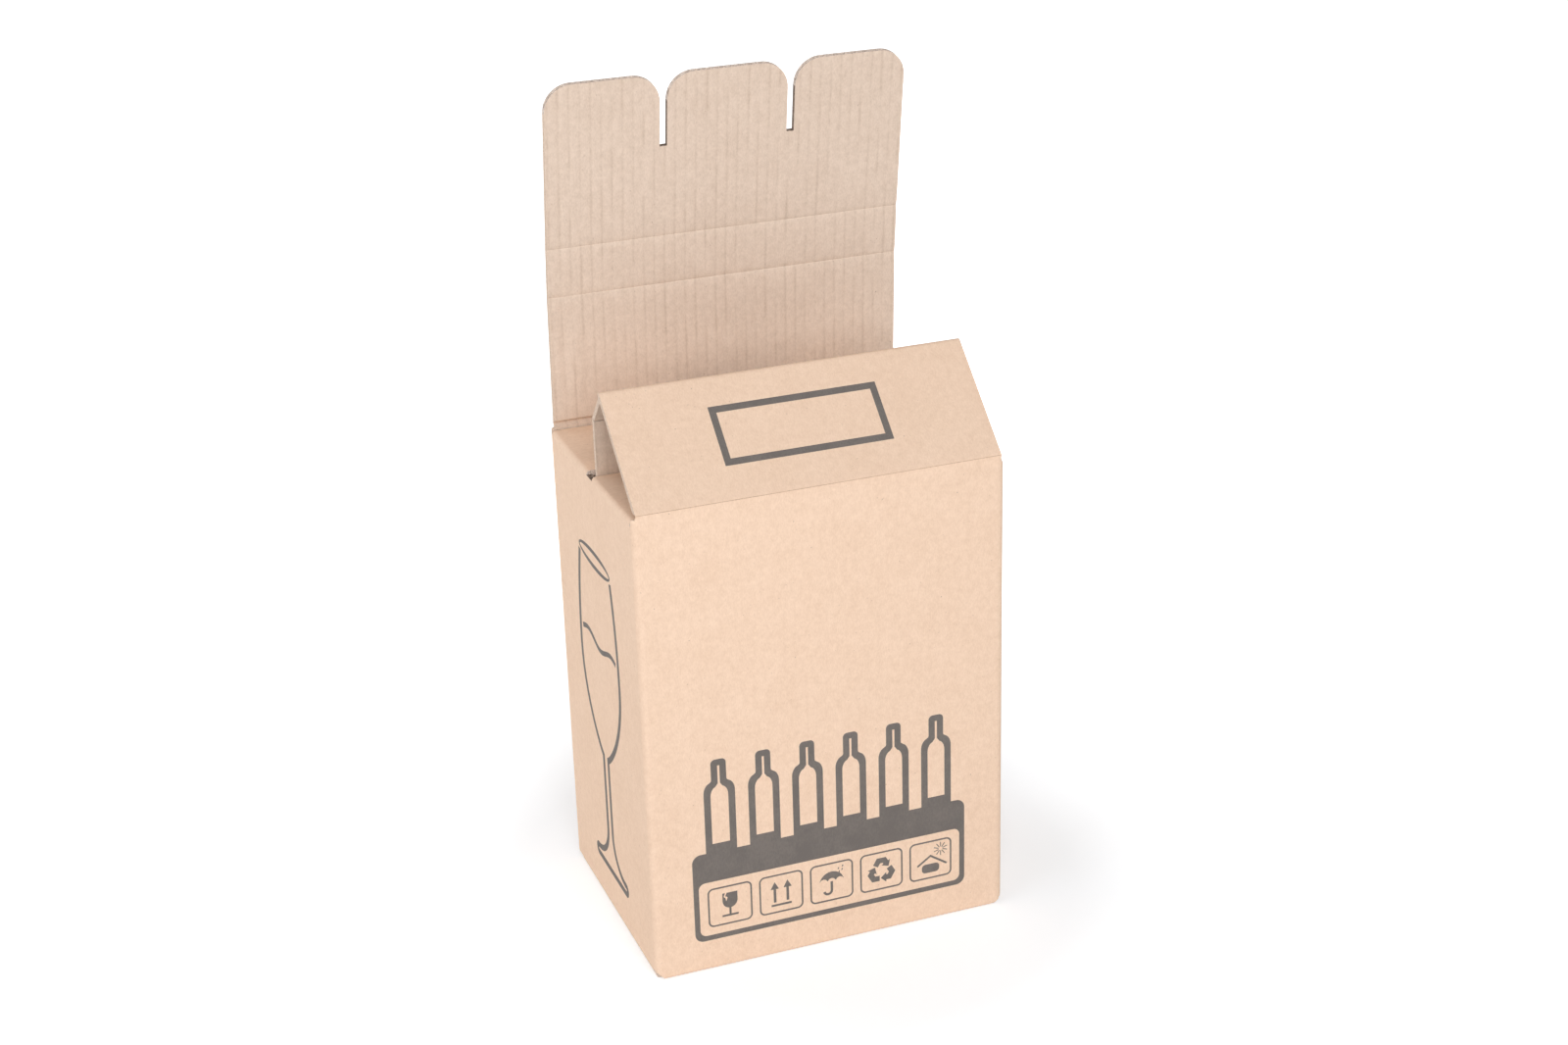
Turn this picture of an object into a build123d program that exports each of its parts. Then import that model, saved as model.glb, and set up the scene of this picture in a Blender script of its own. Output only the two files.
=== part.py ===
"""Shipping box for six bottles, folded and glued from one sheet of corrugated board.

The side flaps are folded in and down, so that they part the bottles of each row.
The front flap is half closed: its lobed leaf hangs in the slots of the side flaps,
where it parts the two rows. The rear flap, with a leaf of the same outline, stands open.

X runs along the front from left to right, Y from front to rear and Z up.
The origin is the middle of the bottom, where the box stands.
"""

import math
import os

from build123d import *

# Outside of the box
box_width = 250.0
box_depth = 180.0
box_height = 330.0

# Board and folds
board = 4.0
upright_fold_inside = 1.0
crease_core = 1.0
crease_gap = 0.25
score_depth = 0.8

# Front and rear flaps: a panel, a narrow strip and a lobed leaf
flap_inset = 2.6
panel_setback = 1.2
strip_length = 34.0
leaf_length = 111.5
leaf_side_gap = 1.5
lobe_radius = 18.0
leaf_slot_depth = 48.5
leaf_slot_play = 1.0
leaf_bend_spare = 4.0

# Stance of the rear flap: lean towards the front of its panel, strip and leaf, in degrees
rear_panel_lean = 3.2
rear_strip_lean = 7.2
rear_leaf_lean = 9.0
rear_swing_forward = 50.0
rear_bevel_spare = 4.0

# Side flaps, which end as the dividers of each row
side_flap_end_gap = 1.0
divider_offset = 43.5
divider_drop = 157.0
slot_play = 0.8
slot_end_gap = 2.0
slot_wall_drop = 2.0

# Cuts at the corners, bottom seam and glued joint
top_corner_slot_depth = 4.5
bottom_corner_slot_depth = 10.0
bottom_seam = 1.0
glue_tab_width = 35.0
glue_tab_thickness = 2.5
glue_tab_end_gap = 12.0
joint_seam = 0.8

# Sizes that follow
half_width = box_width / 2
half_depth = box_depth / 2
inner_half_width = half_width - board
inner_half_depth = half_depth - board
upright_fold_radius = upright_fold_inside + board
crease_radius = board - crease_core
flap_half_width = half_width - flap_inset
leaf_half_width = inner_half_width - leaf_side_gap
panel_length = half_depth - panel_setback
bottom_flap_length = (box_depth - bottom_seam) / 2
side_flap_half = inner_half_depth - side_flap_end_gap
side_top = box_height - board - crease_gap
corner_slot_bottom = box_height - top_corner_slot_depth
wall_top = box_height - crease_gap
past = board + bottom_corner_slot_depth

# The front flap rests where its leaf hangs in the same plane as when it is closed
tent_angle = 2 * math.degrees(math.atan2(strip_length, panel_length))
leaf_swing = math.hypot(panel_length, strip_length) - half_depth
slot_half = max(panel_setback + board, leaf_swing) + slot_play
leaf_bevel = board * math.tan(math.radians((tent_angle + leaf_bend_spare) / 2))
rear_fold = rear_panel_lean + rear_swing_forward + rear_bevel_spare
rear_bevel = board * math.tan(math.radians(rear_fold / 2))

divider_bottom = side_top - divider_drop
divider_slot_bottom = box_height - strip_length - leaf_length + leaf_slot_depth - slot_end_gap


def lean(angle):
    """Direction of a panel that leans towards the front, as Y and Z."""
    return Vector(-math.sin(math.radians(angle)), math.cos(math.radians(angle)))


def add_leaf(sketch, half_span):
    """Lobed leaf in the open sketch, from its score at the X axis to its tips."""
    Rectangle(2 * half_span, leaf_length, align=(Align.CENTER, Align.MIN))
    with Locations((-divider_offset, leaf_length), (divider_offset, leaf_length)):
        Rectangle(board + leaf_slot_play, 2 * leaf_slot_depth, mode=Mode.SUBTRACT)
    fillet(sketch.vertices().group_by(Axis.Y)[-1], radius=lobe_radius)


# Walls, bottom flaps and folded-in side flaps
with BuildPart() as box_body:
    # Four walls with rounded upright folds
    with BuildSketch(Plane.XY.offset(board)):
        RectangleRounded(box_width, box_depth, upright_fold_radius)
        RectangleRounded(
            2 * inner_half_width, 2 * inner_half_depth, upright_fold_inside, mode=Mode.SUBTRACT
        )
    extrude(amount=wall_top - board)

    # Side walls end lower, at the folds of the side flaps
    with BuildSketch(Plane.XY.offset(side_top - board)):
        Rectangle(box_width + past, 2 * inner_half_depth)
    extrude(amount=past, mode=Mode.SUBTRACT)

    # Bevels on the inside of the front and rear top creases, where the flaps fold in
    with BuildSketch(Plane.YZ):
        Polygon(
            (-half_depth, wall_top),
            (-inner_half_depth, wall_top - board),
            (-inner_half_depth, wall_top),
            align=None,
        )
        Polygon(
            (half_depth, wall_top),
            (inner_half_depth, wall_top),
            (inner_half_depth, wall_top - rear_bevel),
            align=None,
        )
    extrude(amount=half_width, both=True, mode=Mode.SUBTRACT)

    # Outer bottom flaps of the front and rear walls, which meet at the seam
    with BuildSketch():
        with Locations((0, -half_depth)):
            Rectangle(2 * flap_half_width, bottom_flap_length, align=(Align.CENTER, Align.MIN))
        with Locations((0, half_depth)):
            Rectangle(2 * flap_half_width, bottom_flap_length, align=(Align.CENTER, Align.MAX))
    extrude(amount=board)

    # Inner bottom flaps of the side walls, glued down on the outer ones
    with BuildSketch(Plane.XY.offset(board)):
        with Locations((-half_width, 0)):
            Rectangle(bottom_flap_length, 2 * side_flap_half, align=(Align.MIN, Align.CENTER))
        with Locations((half_width, 0)):
            Rectangle(bottom_flap_length, 2 * side_flap_half, align=(Align.MAX, Align.CENTER))
    extrude(amount=board)

    # Side flaps, folded in at the wall and down again as dividers
    with BuildSketch(Plane.XZ) as side_flap_section:
        Polygon(
            (-half_width, side_top - board),
            (-half_width, side_top),
            (board / 2 - divider_offset, side_top),
            (board / 2 - divider_offset, divider_bottom),
            (-board / 2 - divider_offset, divider_bottom),
            (-board / 2 - divider_offset, side_top - board),
            align=None,
        )
        fillet(side_flap_section.vertices().group_by(Axis.Y)[-1], radius=crease_radius)
        mirror(about=Plane.YZ)
    extrude(amount=side_flap_half, both=True)

    # Slots for the leaves, from just below the folds of the side flaps to the upper part of the dividers
    with BuildSketch(Plane.XY.offset(side_top - board - slot_wall_drop)):
        Rectangle(box_width + past, 2 * slot_half)
    extrude(amount=past + slot_wall_drop, mode=Mode.SUBTRACT)
    with BuildSketch(Plane.XY.offset(divider_slot_bottom)):
        with Locations((-divider_offset, 0), (divider_offset, 0)):
            Rectangle(2 * board, 2 * slot_half)
    extrude(amount=past + side_top - divider_slot_bottom, mode=Mode.SUBTRACT)

    # Slots between neighbouring flaps at the corners, top and bottom
    for slot_floor in (bottom_corner_slot_depth - past, corner_slot_bottom):
        with BuildSketch(Plane.XY.offset(slot_floor)):
            Rectangle(box_width + past, box_depth + past)
            Rectangle(2 * flap_half_width, box_depth + past, mode=Mode.SUBTRACT)
            Rectangle(box_width + past, 2 * side_flap_half, mode=Mode.SUBTRACT)
        extrude(amount=past, mode=Mode.SUBTRACT)

    # Rounded folds at the bottom
    bottom_folds = box_body.edges().filter_by(Axis.X).group_by(Axis.Z)[0].sort_by(Axis.Y)
    fillet([bottom_folds[0], bottom_folds[-1]], radius=crease_radius)
    side_folds = box_body.edges().filter_by(Axis.Y).filter_by_position(Axis.Z, board, board).sort_by(Axis.X)
    fillet([side_folds[0], side_folds[-1]], radius=crease_radius)

    # Seam of the glued joint at the right rear fold, and the tab that is glued behind it
    with BuildSketch(Plane.XY.offset(bottom_corner_slot_depth)):
        with Locations((half_width - upright_fold_radius, half_depth)):
            Rectangle(joint_seam, 2 * board, align=(Align.MAX, Align.CENTER))
    extrude(amount=corner_slot_bottom - bottom_corner_slot_depth, mode=Mode.SUBTRACT)
    with BuildSketch(Plane.XY.offset(2 * board + glue_tab_end_gap)):
        with Locations((inner_half_width, inner_half_depth)):
            Rectangle(glue_tab_width, glue_tab_thickness, align=(Align.MAX, Align.MAX))
    extrude(amount=corner_slot_bottom - 2 * board - 2 * glue_tab_end_gap)

box_body.part.label = "box_body"

# Rear flap, standing open on the rear crease
rear_crease = Vector(half_depth, box_height)
rear_root = rear_crease + lean(rear_panel_lean) * crease_gap
rear_ridge = rear_crease + lean(rear_panel_lean) * panel_length
rear_score = rear_ridge + lean(rear_strip_lean) * strip_length
rear_leaf_root = rear_score + lean(rear_leaf_lean) * lobe_radius
rear_inside = lean(90.0 + rear_panel_lean) * board
rear_leaf_plane = Plane(
    origin=(0, rear_score.X, rear_score.Y),
    x_dir=(1, 0, 0),
    z_dir=(0, lean(90.0 + rear_leaf_lean).X, lean(90.0 + rear_leaf_lean).Y),
)

with BuildPart() as back_flap:
    # Panel, strip and the root of the leaf, bent a little at the scores
    with BuildSketch(Plane.YZ):
        with BuildLine():
            Polyline(rear_root, rear_ridge, rear_score, rear_leaf_root)
            offset(amount=board, side=Side.LEFT, kind=Kind.INTERSECTION)
        make_face()
    extrude(amount=flap_half_width, both=True)

    # Leaf with three lobes
    with BuildSketch(rear_leaf_plane) as rear_leaf:
        add_leaf(rear_leaf, flap_half_width)
    extrude(amount=board)

    # Bevel on the inside of the crease
    with BuildSketch(Plane.YZ):
        Polygon(
            rear_root,
            rear_root + rear_inside,
            rear_root + rear_inside + lean(rear_panel_lean) * rear_bevel,
            align=None,
        )
    extrude(amount=flap_half_width, both=True, mode=Mode.SUBTRACT)

    # Scores pressed into the inside
    with BuildSketch(Plane.YZ):
        with Locations(rear_ridge + rear_inside, rear_score + rear_inside):
            Rectangle(score_depth * math.sqrt(2), score_depth * math.sqrt(2), rotation=45)
    extrude(amount=flap_half_width, both=True, mode=Mode.SUBTRACT)

back_flap.part.label = "back_flap"

# Front flap, half closed on the front crease; U runs along its panel and V out of it
front_plane = Plane(
    origin=(0, -half_depth, box_height),
    x_dir=(0, math.cos(math.radians(tent_angle)), math.sin(math.radians(tent_angle))),
    z_dir=(1, 0, 0),
)

with BuildPart() as front_flap:
    # Panel with a bevel inside the crease and a rounded ridge
    with BuildSketch(front_plane) as panel_section:
        Polygon(
            (crease_gap, 0),
            (panel_length, 0),
            (panel_length, -board),
            (crease_gap + board, -board),
            align=None,
        )
        fillet(panel_section.vertices().group_by(Axis.Y)[-1].sort_by(Axis.X)[-1], radius=crease_radius)
    extrude(amount=flap_half_width, both=True)

    # Strip turned down from the ridge, bevelled inside its lower score
    with BuildSketch(front_plane):
        Polygon(
            (panel_length, -board),
            (panel_length, crease_gap - strip_length),
            (panel_length - board, crease_gap + leaf_bevel - strip_length),
            (panel_length - board, -board),
            align=None,
        )
    extrude(amount=leaf_half_width, both=True)

front_flap.part.label = "front_flap"

# Leaf of the front flap, upright in the slots of the side flaps
leaf_hinge = front_plane.from_local_coords(Vector(panel_length, -strip_length, 0))
front_leaf_plane = Plane(origin=leaf_hinge, x_dir=(1, 0, 0), z_dir=(0, 1, 0))

with BuildPart() as front_leaf:
    with BuildSketch(front_leaf_plane) as leaf_outline:
        add_leaf(leaf_outline, leaf_half_width)
    extrude(amount=-board)

    # Bevel on the front of its upper edge, where it bends from the strip
    with BuildSketch(Plane.YZ):
        with Locations((leaf_hinge.Y, leaf_hinge.Z)):
            Polygon(
                (0, 0),
                (0, -crease_gap),
                (-board, -crease_gap - leaf_bevel),
                (-board, 0),
                align=None,
            )
    extrude(amount=leaf_half_width, both=True, mode=Mode.SUBTRACT)

front_leaf.part.label = "front_leaf"

os.makedirs("parts", exist_ok=True)
for piece in (box_body, back_flap, front_flap, front_leaf):
    export_step(piece.part, f"parts/{piece.part.label}.step")

print(f"front crease   y {-half_depth:.3f}  z {box_height:.3f}")
print(f"rear crease    y {half_depth:.3f}  z {box_height:.3f}")
print(f"leaf score     y {leaf_hinge.Y:.3f}  z {leaf_hinge.Z:.3f}")
print(f"tent angle     {tent_angle:.3f} degrees")
print(f"leaf slots     {2 * slot_half:.3f} wide, divider slots down to z {divider_slot_bottom:.3f}")
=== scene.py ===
"""Bottle shipping box of printed corrugated board, in a plain white studio.

The walls, side flaps and bottom flaps are two liners with flutes between them. So are the front flap, its
leaf in the slots, and the rear flap with its three lobes. Liners bend over the creases where the flaps turn.
Sizes are in metres, and the drawings for print in millimetres. X is to the right, Y to the rear and Z up.
"""

import logging
import math
from collections.abc import Callable, Iterator, Sequence
from contextlib import contextmanager
from dataclasses import dataclass, field, replace
from enum import Enum

import bmesh
import bpy
from mathutils import Matrix, Quaternion, Vector


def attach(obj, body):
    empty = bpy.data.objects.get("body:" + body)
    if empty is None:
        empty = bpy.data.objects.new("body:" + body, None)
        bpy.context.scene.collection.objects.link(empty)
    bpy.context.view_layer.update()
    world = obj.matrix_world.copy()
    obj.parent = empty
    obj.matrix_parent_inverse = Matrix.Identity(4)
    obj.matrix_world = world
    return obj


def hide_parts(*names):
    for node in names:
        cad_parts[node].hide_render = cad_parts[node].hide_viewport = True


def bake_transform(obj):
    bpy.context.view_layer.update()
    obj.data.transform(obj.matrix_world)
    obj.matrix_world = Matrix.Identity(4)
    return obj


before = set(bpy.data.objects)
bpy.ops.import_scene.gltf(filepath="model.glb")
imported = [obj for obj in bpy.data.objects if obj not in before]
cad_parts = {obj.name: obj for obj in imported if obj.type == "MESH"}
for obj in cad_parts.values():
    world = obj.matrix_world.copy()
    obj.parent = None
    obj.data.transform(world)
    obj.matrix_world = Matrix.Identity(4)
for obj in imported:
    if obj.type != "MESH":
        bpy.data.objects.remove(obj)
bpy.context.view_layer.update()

LOG = logging.getLogger("bottle_box")
MM = 0.001
INK_DEPTH = 0.1

# Slack for places that touch, for doubled vertices and for places that lie near each other
TOUCH = 0.001 * MM
WELD = 0.002 * MM
NEAR = 0.01 * MM

Piece = bpy.types.Object
Face = bpy.types.MeshPolygon
Material = bpy.types.Material
Socket = bpy.types.NodeSocket
Point = tuple[float, float]
Point3 = tuple[float, float, float]
Loop = list[Point]
Colour = tuple[float, float, float, float]
Test = Callable[[Vector], bool]


class Element(Enum):
    """What a pick selects in edit mode."""

    VERTICES = "VERT"
    EDGES = "EDGE"
    FACES = "FACE"


class Axis(Enum):
    """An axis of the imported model's frame."""

    X = 0
    Y = 1
    Z = 2

    def unit(self) -> Vector:
        """Return the unit vector along this axis."""
        return Vector([float(i == self.value) for i in range(3)])


class Side(Enum):
    """Left or right half of the box, as the sign of X."""

    LEFT = -1
    RIGHT = 1


# Modelling bench


def deselect_all() -> None:
    """Leave no object selected, in object mode."""
    if bpy.context.mode != "OBJECT":
        bpy.ops.object.mode_set(mode="OBJECT")
    bpy.ops.object.select_all(action="DESELECT")


def activate(piece: Piece) -> None:
    """Select one piece alone and make it active.

    Args:
        piece: The piece that the next operators act on.
    """
    deselect_all()
    piece.select_set(True)
    bpy.context.view_layer.objects.active = piece


@contextmanager
def editing(piece: Piece) -> Iterator[None]:
    """Edit one piece, with nothing selected at the start.

    Args:
        piece: The mesh piece to edit.
    """
    activate(piece)
    bpy.ops.object.mode_set(mode="EDIT")
    bpy.ops.mesh.select_all(action="DESELECT")
    yield
    bpy.ops.object.mode_set(mode="OBJECT")


def pick(kind: Element, test: Test) -> int:
    """Select, in the mesh being edited, the elements whose middle passes a test.

    Args:
        kind: Vertices, edges or faces.
        test: Says of a middle point whether its element is wanted.

    Returns:
        How many elements were selected.
    """
    bpy.ops.mesh.select_mode(type=kind.value)
    bpy.ops.mesh.select_all(action="DESELECT")
    mesh = bpy.context.edit_object.data
    shape = bmesh.from_edit_mesh(mesh)
    if kind is Element.VERTICES:
        wanted = [v for v in shape.verts if test(v.co)]
    elif kind is Element.EDGES:
        wanted = [e for e in shape.edges if test((e.verts[0].co + e.verts[1].co) / 2)]
    else:
        wanted = [f for f in shape.faces if test(f.calc_center_median())]
    for element in wanted:
        element.select_set(True)
    shape.select_flush_mode()
    bmesh.update_edit_mesh(mesh)
    return len(wanted)


def cut(axis: Axis, places: Sequence[float]) -> None:
    """Cut the mesh being edited across an axis, at several places.

    Args:
        axis: The axis that the cuts are square to.
        places: Where on that axis the cuts lie.
    """
    for place in places:
        bpy.ops.mesh.select_all(action="SELECT")
        bpy.ops.mesh.bisect(plane_co=axis.unit() * place, plane_no=axis.unit())


def remove_faces(test: Test) -> None:
    """Delete the faces of the mesh being edited whose middle passes a test.

    Args:
        test: Says of a middle point whether its face goes.
    """
    if pick(Element.FACES, test):
        bpy.ops.mesh.delete(type="FACE")


def extrude_by(x: float, y: float, z: float) -> None:
    """Extrude the selected edges of the mesh being edited.

    Args:
        x: Step along X.
        y: Step along Y.
        z: Step along Z.
    """
    bpy.ops.mesh.extrude_edges_move(TRANSFORM_OT_translate={"value": (x, y, z)})


def apply_modifier(piece: Piece, kind: str, **settings: object) -> None:
    """Add a modifier to a piece and apply it.

    Args:
        piece: The piece to change.
        kind: Blender's name of the modifier's type.
        **settings: Values of the modifier.
    """
    activate(piece)
    modifier = piece.modifiers.new(kind.title(), kind)
    for name, value in settings.items():
        setattr(modifier, name, value)
    bpy.ops.object.modifier_apply(modifier=modifier.name)


def thicken(piece: Piece, thickness: float, inward: bool = True) -> None:
    """Give a sheet its thickness.

    Args:
        piece: The sheet.
        thickness: How thick it becomes.
        inward: Whether it grows against its normals.
    """
    apply_modifier(
        piece, "SOLIDIFY", thickness=thickness, offset=-1.0 if inward else 1.0, use_even_offset=True
    )


def keep_inside(piece: Piece, outline: Piece) -> None:
    """Cut a closed piece to what lies inside another, which is used up.

    Args:
        piece: The piece to cut.
        outline: The solid that says what stays.
    """
    apply_modifier(piece, "BOOLEAN", operation="INTERSECT", solver="MANIFOLD", object=outline)
    bpy.data.objects.remove(outline)


def weld(piece: Piece, outward: bool = True) -> None:
    """Merge doubled vertices of a piece and, if wanted, turn its faces outwards.

    Args:
        piece: The piece to clean.
        outward: Whether the normals are recalculated.
    """
    with editing(piece):
        bpy.ops.mesh.select_all(action="SELECT")
        bpy.ops.mesh.remove_doubles(threshold=WELD)
        if outward:
            bpy.ops.mesh.normals_make_consistent(inside=False)


def smooth(piece: Piece, degrees: float = 35.0) -> None:
    """Shade a piece smooth, apart from its sharp edges.

    Args:
        piece: The piece to shade.
        degrees: Edges that turn by more stay sharp.
    """
    activate(piece)
    bpy.ops.object.shade_smooth_by_angle(angle=math.radians(degrees))


def join(name: str, pieces: Sequence[Piece]) -> Piece:
    """Join pieces into one, which keeps all their materials.

    Args:
        name: Name of the joined piece.
        pieces: What to join.

    Returns:
        The joined piece.
    """
    deselect_all()
    for piece in pieces:
        piece.select_set(True)
    bpy.context.view_layer.objects.active = pieces[0]
    bpy.ops.object.join()
    joined = bpy.context.view_layer.objects.active
    joined.name = name
    joined.data.name = name
    return joined


def dress(piece: Piece, *materials: Material) -> None:
    """Give a piece its materials.

    Args:
        piece: The piece to dress.
        *materials: All that it has, with the one that covers it first.
    """
    piece.data.materials.clear()
    for material in materials:
        piece.data.materials.append(material)


def dress_faces(piece: Piece, look: Callable[[Face], Material]) -> None:
    """Give each face of a piece its own material.

    Args:
        piece: The piece to dress.
        look: Says of a face which material it has.
    """
    looks = [look(face) for face in piece.data.polygons]
    kinds = list(dict.fromkeys(looks))
    dress(piece, *kinds)
    for face, kind in zip(piece.data.polygons, looks):
        face.material_index = kinds.index(kind)


def settle(piece: Piece, body: str, *nodes: str) -> None:
    """Let a finished piece ride on a body and report it.

    Args:
        piece: The finished piece.
        body: The body that it moves with.
        *nodes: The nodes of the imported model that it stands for.
    """
    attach(piece, body)
    if nodes:
        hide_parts(*nodes)
    LOG.info("%s rides on %s, %d faces", piece.name, body, len(piece.data.polygons))


def arc(
    centre: Point, radius: float, start: float, end: float, steps: int = 8, rise: float | None = None
) -> Loop:
    """Points along an arc, from one angle to another.

    Args:
        centre: Middle of the arc.
        radius: Its radius, or half its width if it is an oval.
        start: First angle in degrees.
        end: Last angle in degrees.
        steps: How many straight steps make the arc.
        rise: Half the height of an oval.

    Returns:
        The points, both ends among them.
    """
    tall = radius if rise is None else rise
    angles = [math.radians(start + (end - start) * i / steps) for i in range(steps + 1)]
    return [(centre[0] + radius * math.cos(a), centre[1] + tall * math.sin(a)) for a in angles]


def rounded_box(low: Point, high: Point, radius: float) -> Loop:
    """Outline of a rectangle with rounded corners.

    Args:
        low: Its lower left corner.
        high: Its upper right corner.
        radius: Radius of the corners.

    Returns:
        The outline, counter-clockwise.
    """
    left, right = low[0] + radius, high[0] - radius
    foot, top = low[1] + radius, high[1] - radius
    return (
        arc((right, foot), radius, -90, 0)
        + arc((right, top), radius, 0, 90)
        + arc((left, top), radius, 90, 180)
        + arc((left, foot), radius, 180, 270)
    )


def plate(name: str, loops: Sequence[Loop], thickness: float, place: Matrix) -> Piece:
    """Flat plate cut to closed outlines; an outline inside another is a hole.

    Args:
        name: Name of the piece.
        loops: The outlines, in the plate's own plane.
        thickness: Thickness of the plate, half to each side of its plane.
        place: Where the plate's plane lies.

    Returns:
        The plate as a mesh.
    """
    curve = bpy.data.curves.new(name, "CURVE")
    curve.dimensions = "2D"
    curve.fill_mode = "BOTH"
    curve.extrude = thickness / 2
    for loop in loops:
        spline = curve.splines.new("POLY")
        spline.points.add(len(loop) - 1)
        for point, (x, y) in zip(spline.points, loop):
            point.co = (x, y, 0.0, 1.0)
        spline.use_cyclic_u = True
    piece = bpy.data.objects.new(name, curve)
    bpy.context.scene.collection.objects.link(piece)
    activate(piece)
    bpy.ops.object.convert(target="MESH")
    piece = bpy.context.view_layer.objects.active
    piece.data.transform(place)
    weld(piece)
    return piece


def ribbon(name: str, path: Loop, half_span: float) -> Piece:
    """Sheet that is straight along X and follows a path in Y and Z.

    Args:
        name: Name of the piece.
        path: Points of the path.
        half_span: Half its width along X.

    Returns:
        The sheet, with no thickness yet.
    """
    deselect_all()
    bpy.ops.mesh.primitive_plane_add(size=2.0)
    sheet = bpy.context.view_layer.objects.active
    sheet.name = name
    for vertex in sheet.data.vertices:
        y, z = path[0] if vertex.co.y < 0 else path[1]
        vertex.co = (math.copysign(half_span, vertex.co.x), y, z)
    with editing(sheet):
        end = Vector((0.0, *path[1]))
        pick(Element.EDGES, lambda middle: (middle - end).length < NEAR)
        for (y0, z0), (y1, z1) in zip(path[1:], path[2:]):
            extrude_by(0.0, y1 - y0, z1 - z0)
    return sheet


def block(name: str, low: Sequence[float], high: Sequence[float]) -> Piece:
    """Cube stretched between two corners, as the start of a piece.

    Args:
        name: Name of the piece.
        low: Its lowest corner.
        high: Its highest corner.

    Returns:
        The block, at the origin, with its place in its mesh.
    """
    deselect_all()
    middle = [(a + b) / 2 for a, b in zip(low, high)]
    bpy.ops.mesh.primitive_cube_add(size=1.0, location=middle)
    piece = bpy.context.view_layer.objects.active
    piece.name = name
    piece.scale = [b - a for a, b in zip(low, high)]
    bpy.ops.object.transform_apply(location=True, rotation=True, scale=True)
    return piece


def add_to(piece: Piece, other: Piece) -> None:
    """Fuse another closed piece to a piece.

    Args:
        piece: The piece that grows.
        other: What is fused to it and used up.
    """
    apply_modifier(piece, "BOOLEAN", operation="UNION", solver="MANIFOLD", object=other)
    bpy.data.objects.remove(other)


def take_from(piece: Piece, cutter: Piece) -> None:
    """Cut a closed piece by another.

    Args:
        piece: The piece that is cut.
        cutter: What is cut out and used up.
    """
    apply_modifier(piece, "BOOLEAN", operation="DIFFERENCE", solver="MANIFOLD", object=cutter)
    bpy.data.objects.remove(cutter)


def round_edges(piece: Piece, test: Test, radius: float, steps: int = 6) -> None:
    """Round the edges of a piece whose middle passes a test.

    Args:
        piece: The piece to round.
        test: Says of an edge's middle whether it is rounded.
        radius: Radius of the rounding.
        steps: How many facets it has.
    """
    with editing(piece):
        pick(Element.EDGES, test)
        bpy.ops.mesh.bevel(offset=radius, segments=steps, profile=0.5)


def everywhere(_: Vector) -> bool:
    """Pass any place, so that a whole mesh is picked."""
    return True


def nudge(test: Test, x: float, y: float, z: float) -> None:
    """Move part of the mesh being edited.

    Args:
        test: Says which vertices move.
        x: Step along X.
        y: Step along Y.
        z: Step along Z.
    """
    pick(Element.VERTICES, test)
    bpy.ops.transform.translate(value=(x, y, z))


def turn(test: Test, degrees: float, y: float, z: float) -> None:
    """Turn part of the mesh being edited about a line along X, from Y towards Z.

    Args:
        test: Says which vertices turn.
        degrees: The angle.
        y: Where the line lies along Y.
        z: Where the line lies along Z.
    """
    pick(Element.VERTICES, test)
    bpy.ops.transform.rotate(value=-math.radians(degrees), orient_axis="X", center_override=(0.0, y, z))


def heading(degrees: float) -> Vector:
    """Return the unit vector in Y and Z at an angle from Y."""
    return Vector((math.cos(math.radians(degrees)), math.sin(math.radians(degrees))))


def left_of(way: Vector) -> Vector:
    """Return a vector in Y and Z turned a quarter to its left."""
    return Vector((-way.y, way.x))


def place_on(origin: Sequence[float], across: Vector, up: Vector, scale: float = 1.0) -> Matrix:
    """Matrix that lays a drawing on a plane.

    Args:
        origin: Where the drawing's origin goes.
        across: Direction of the drawing's first axis.
        up: Direction of its second axis.
        scale: Size of the drawing's unit.

    Returns:
        The matrix from the drawing to the model.
    """
    turned = Matrix((across, up, across.cross(up))).transposed().to_4x4()
    return Matrix.Translation(origin) @ turned @ Matrix.Scale(scale, 4)


# Finishes


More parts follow.
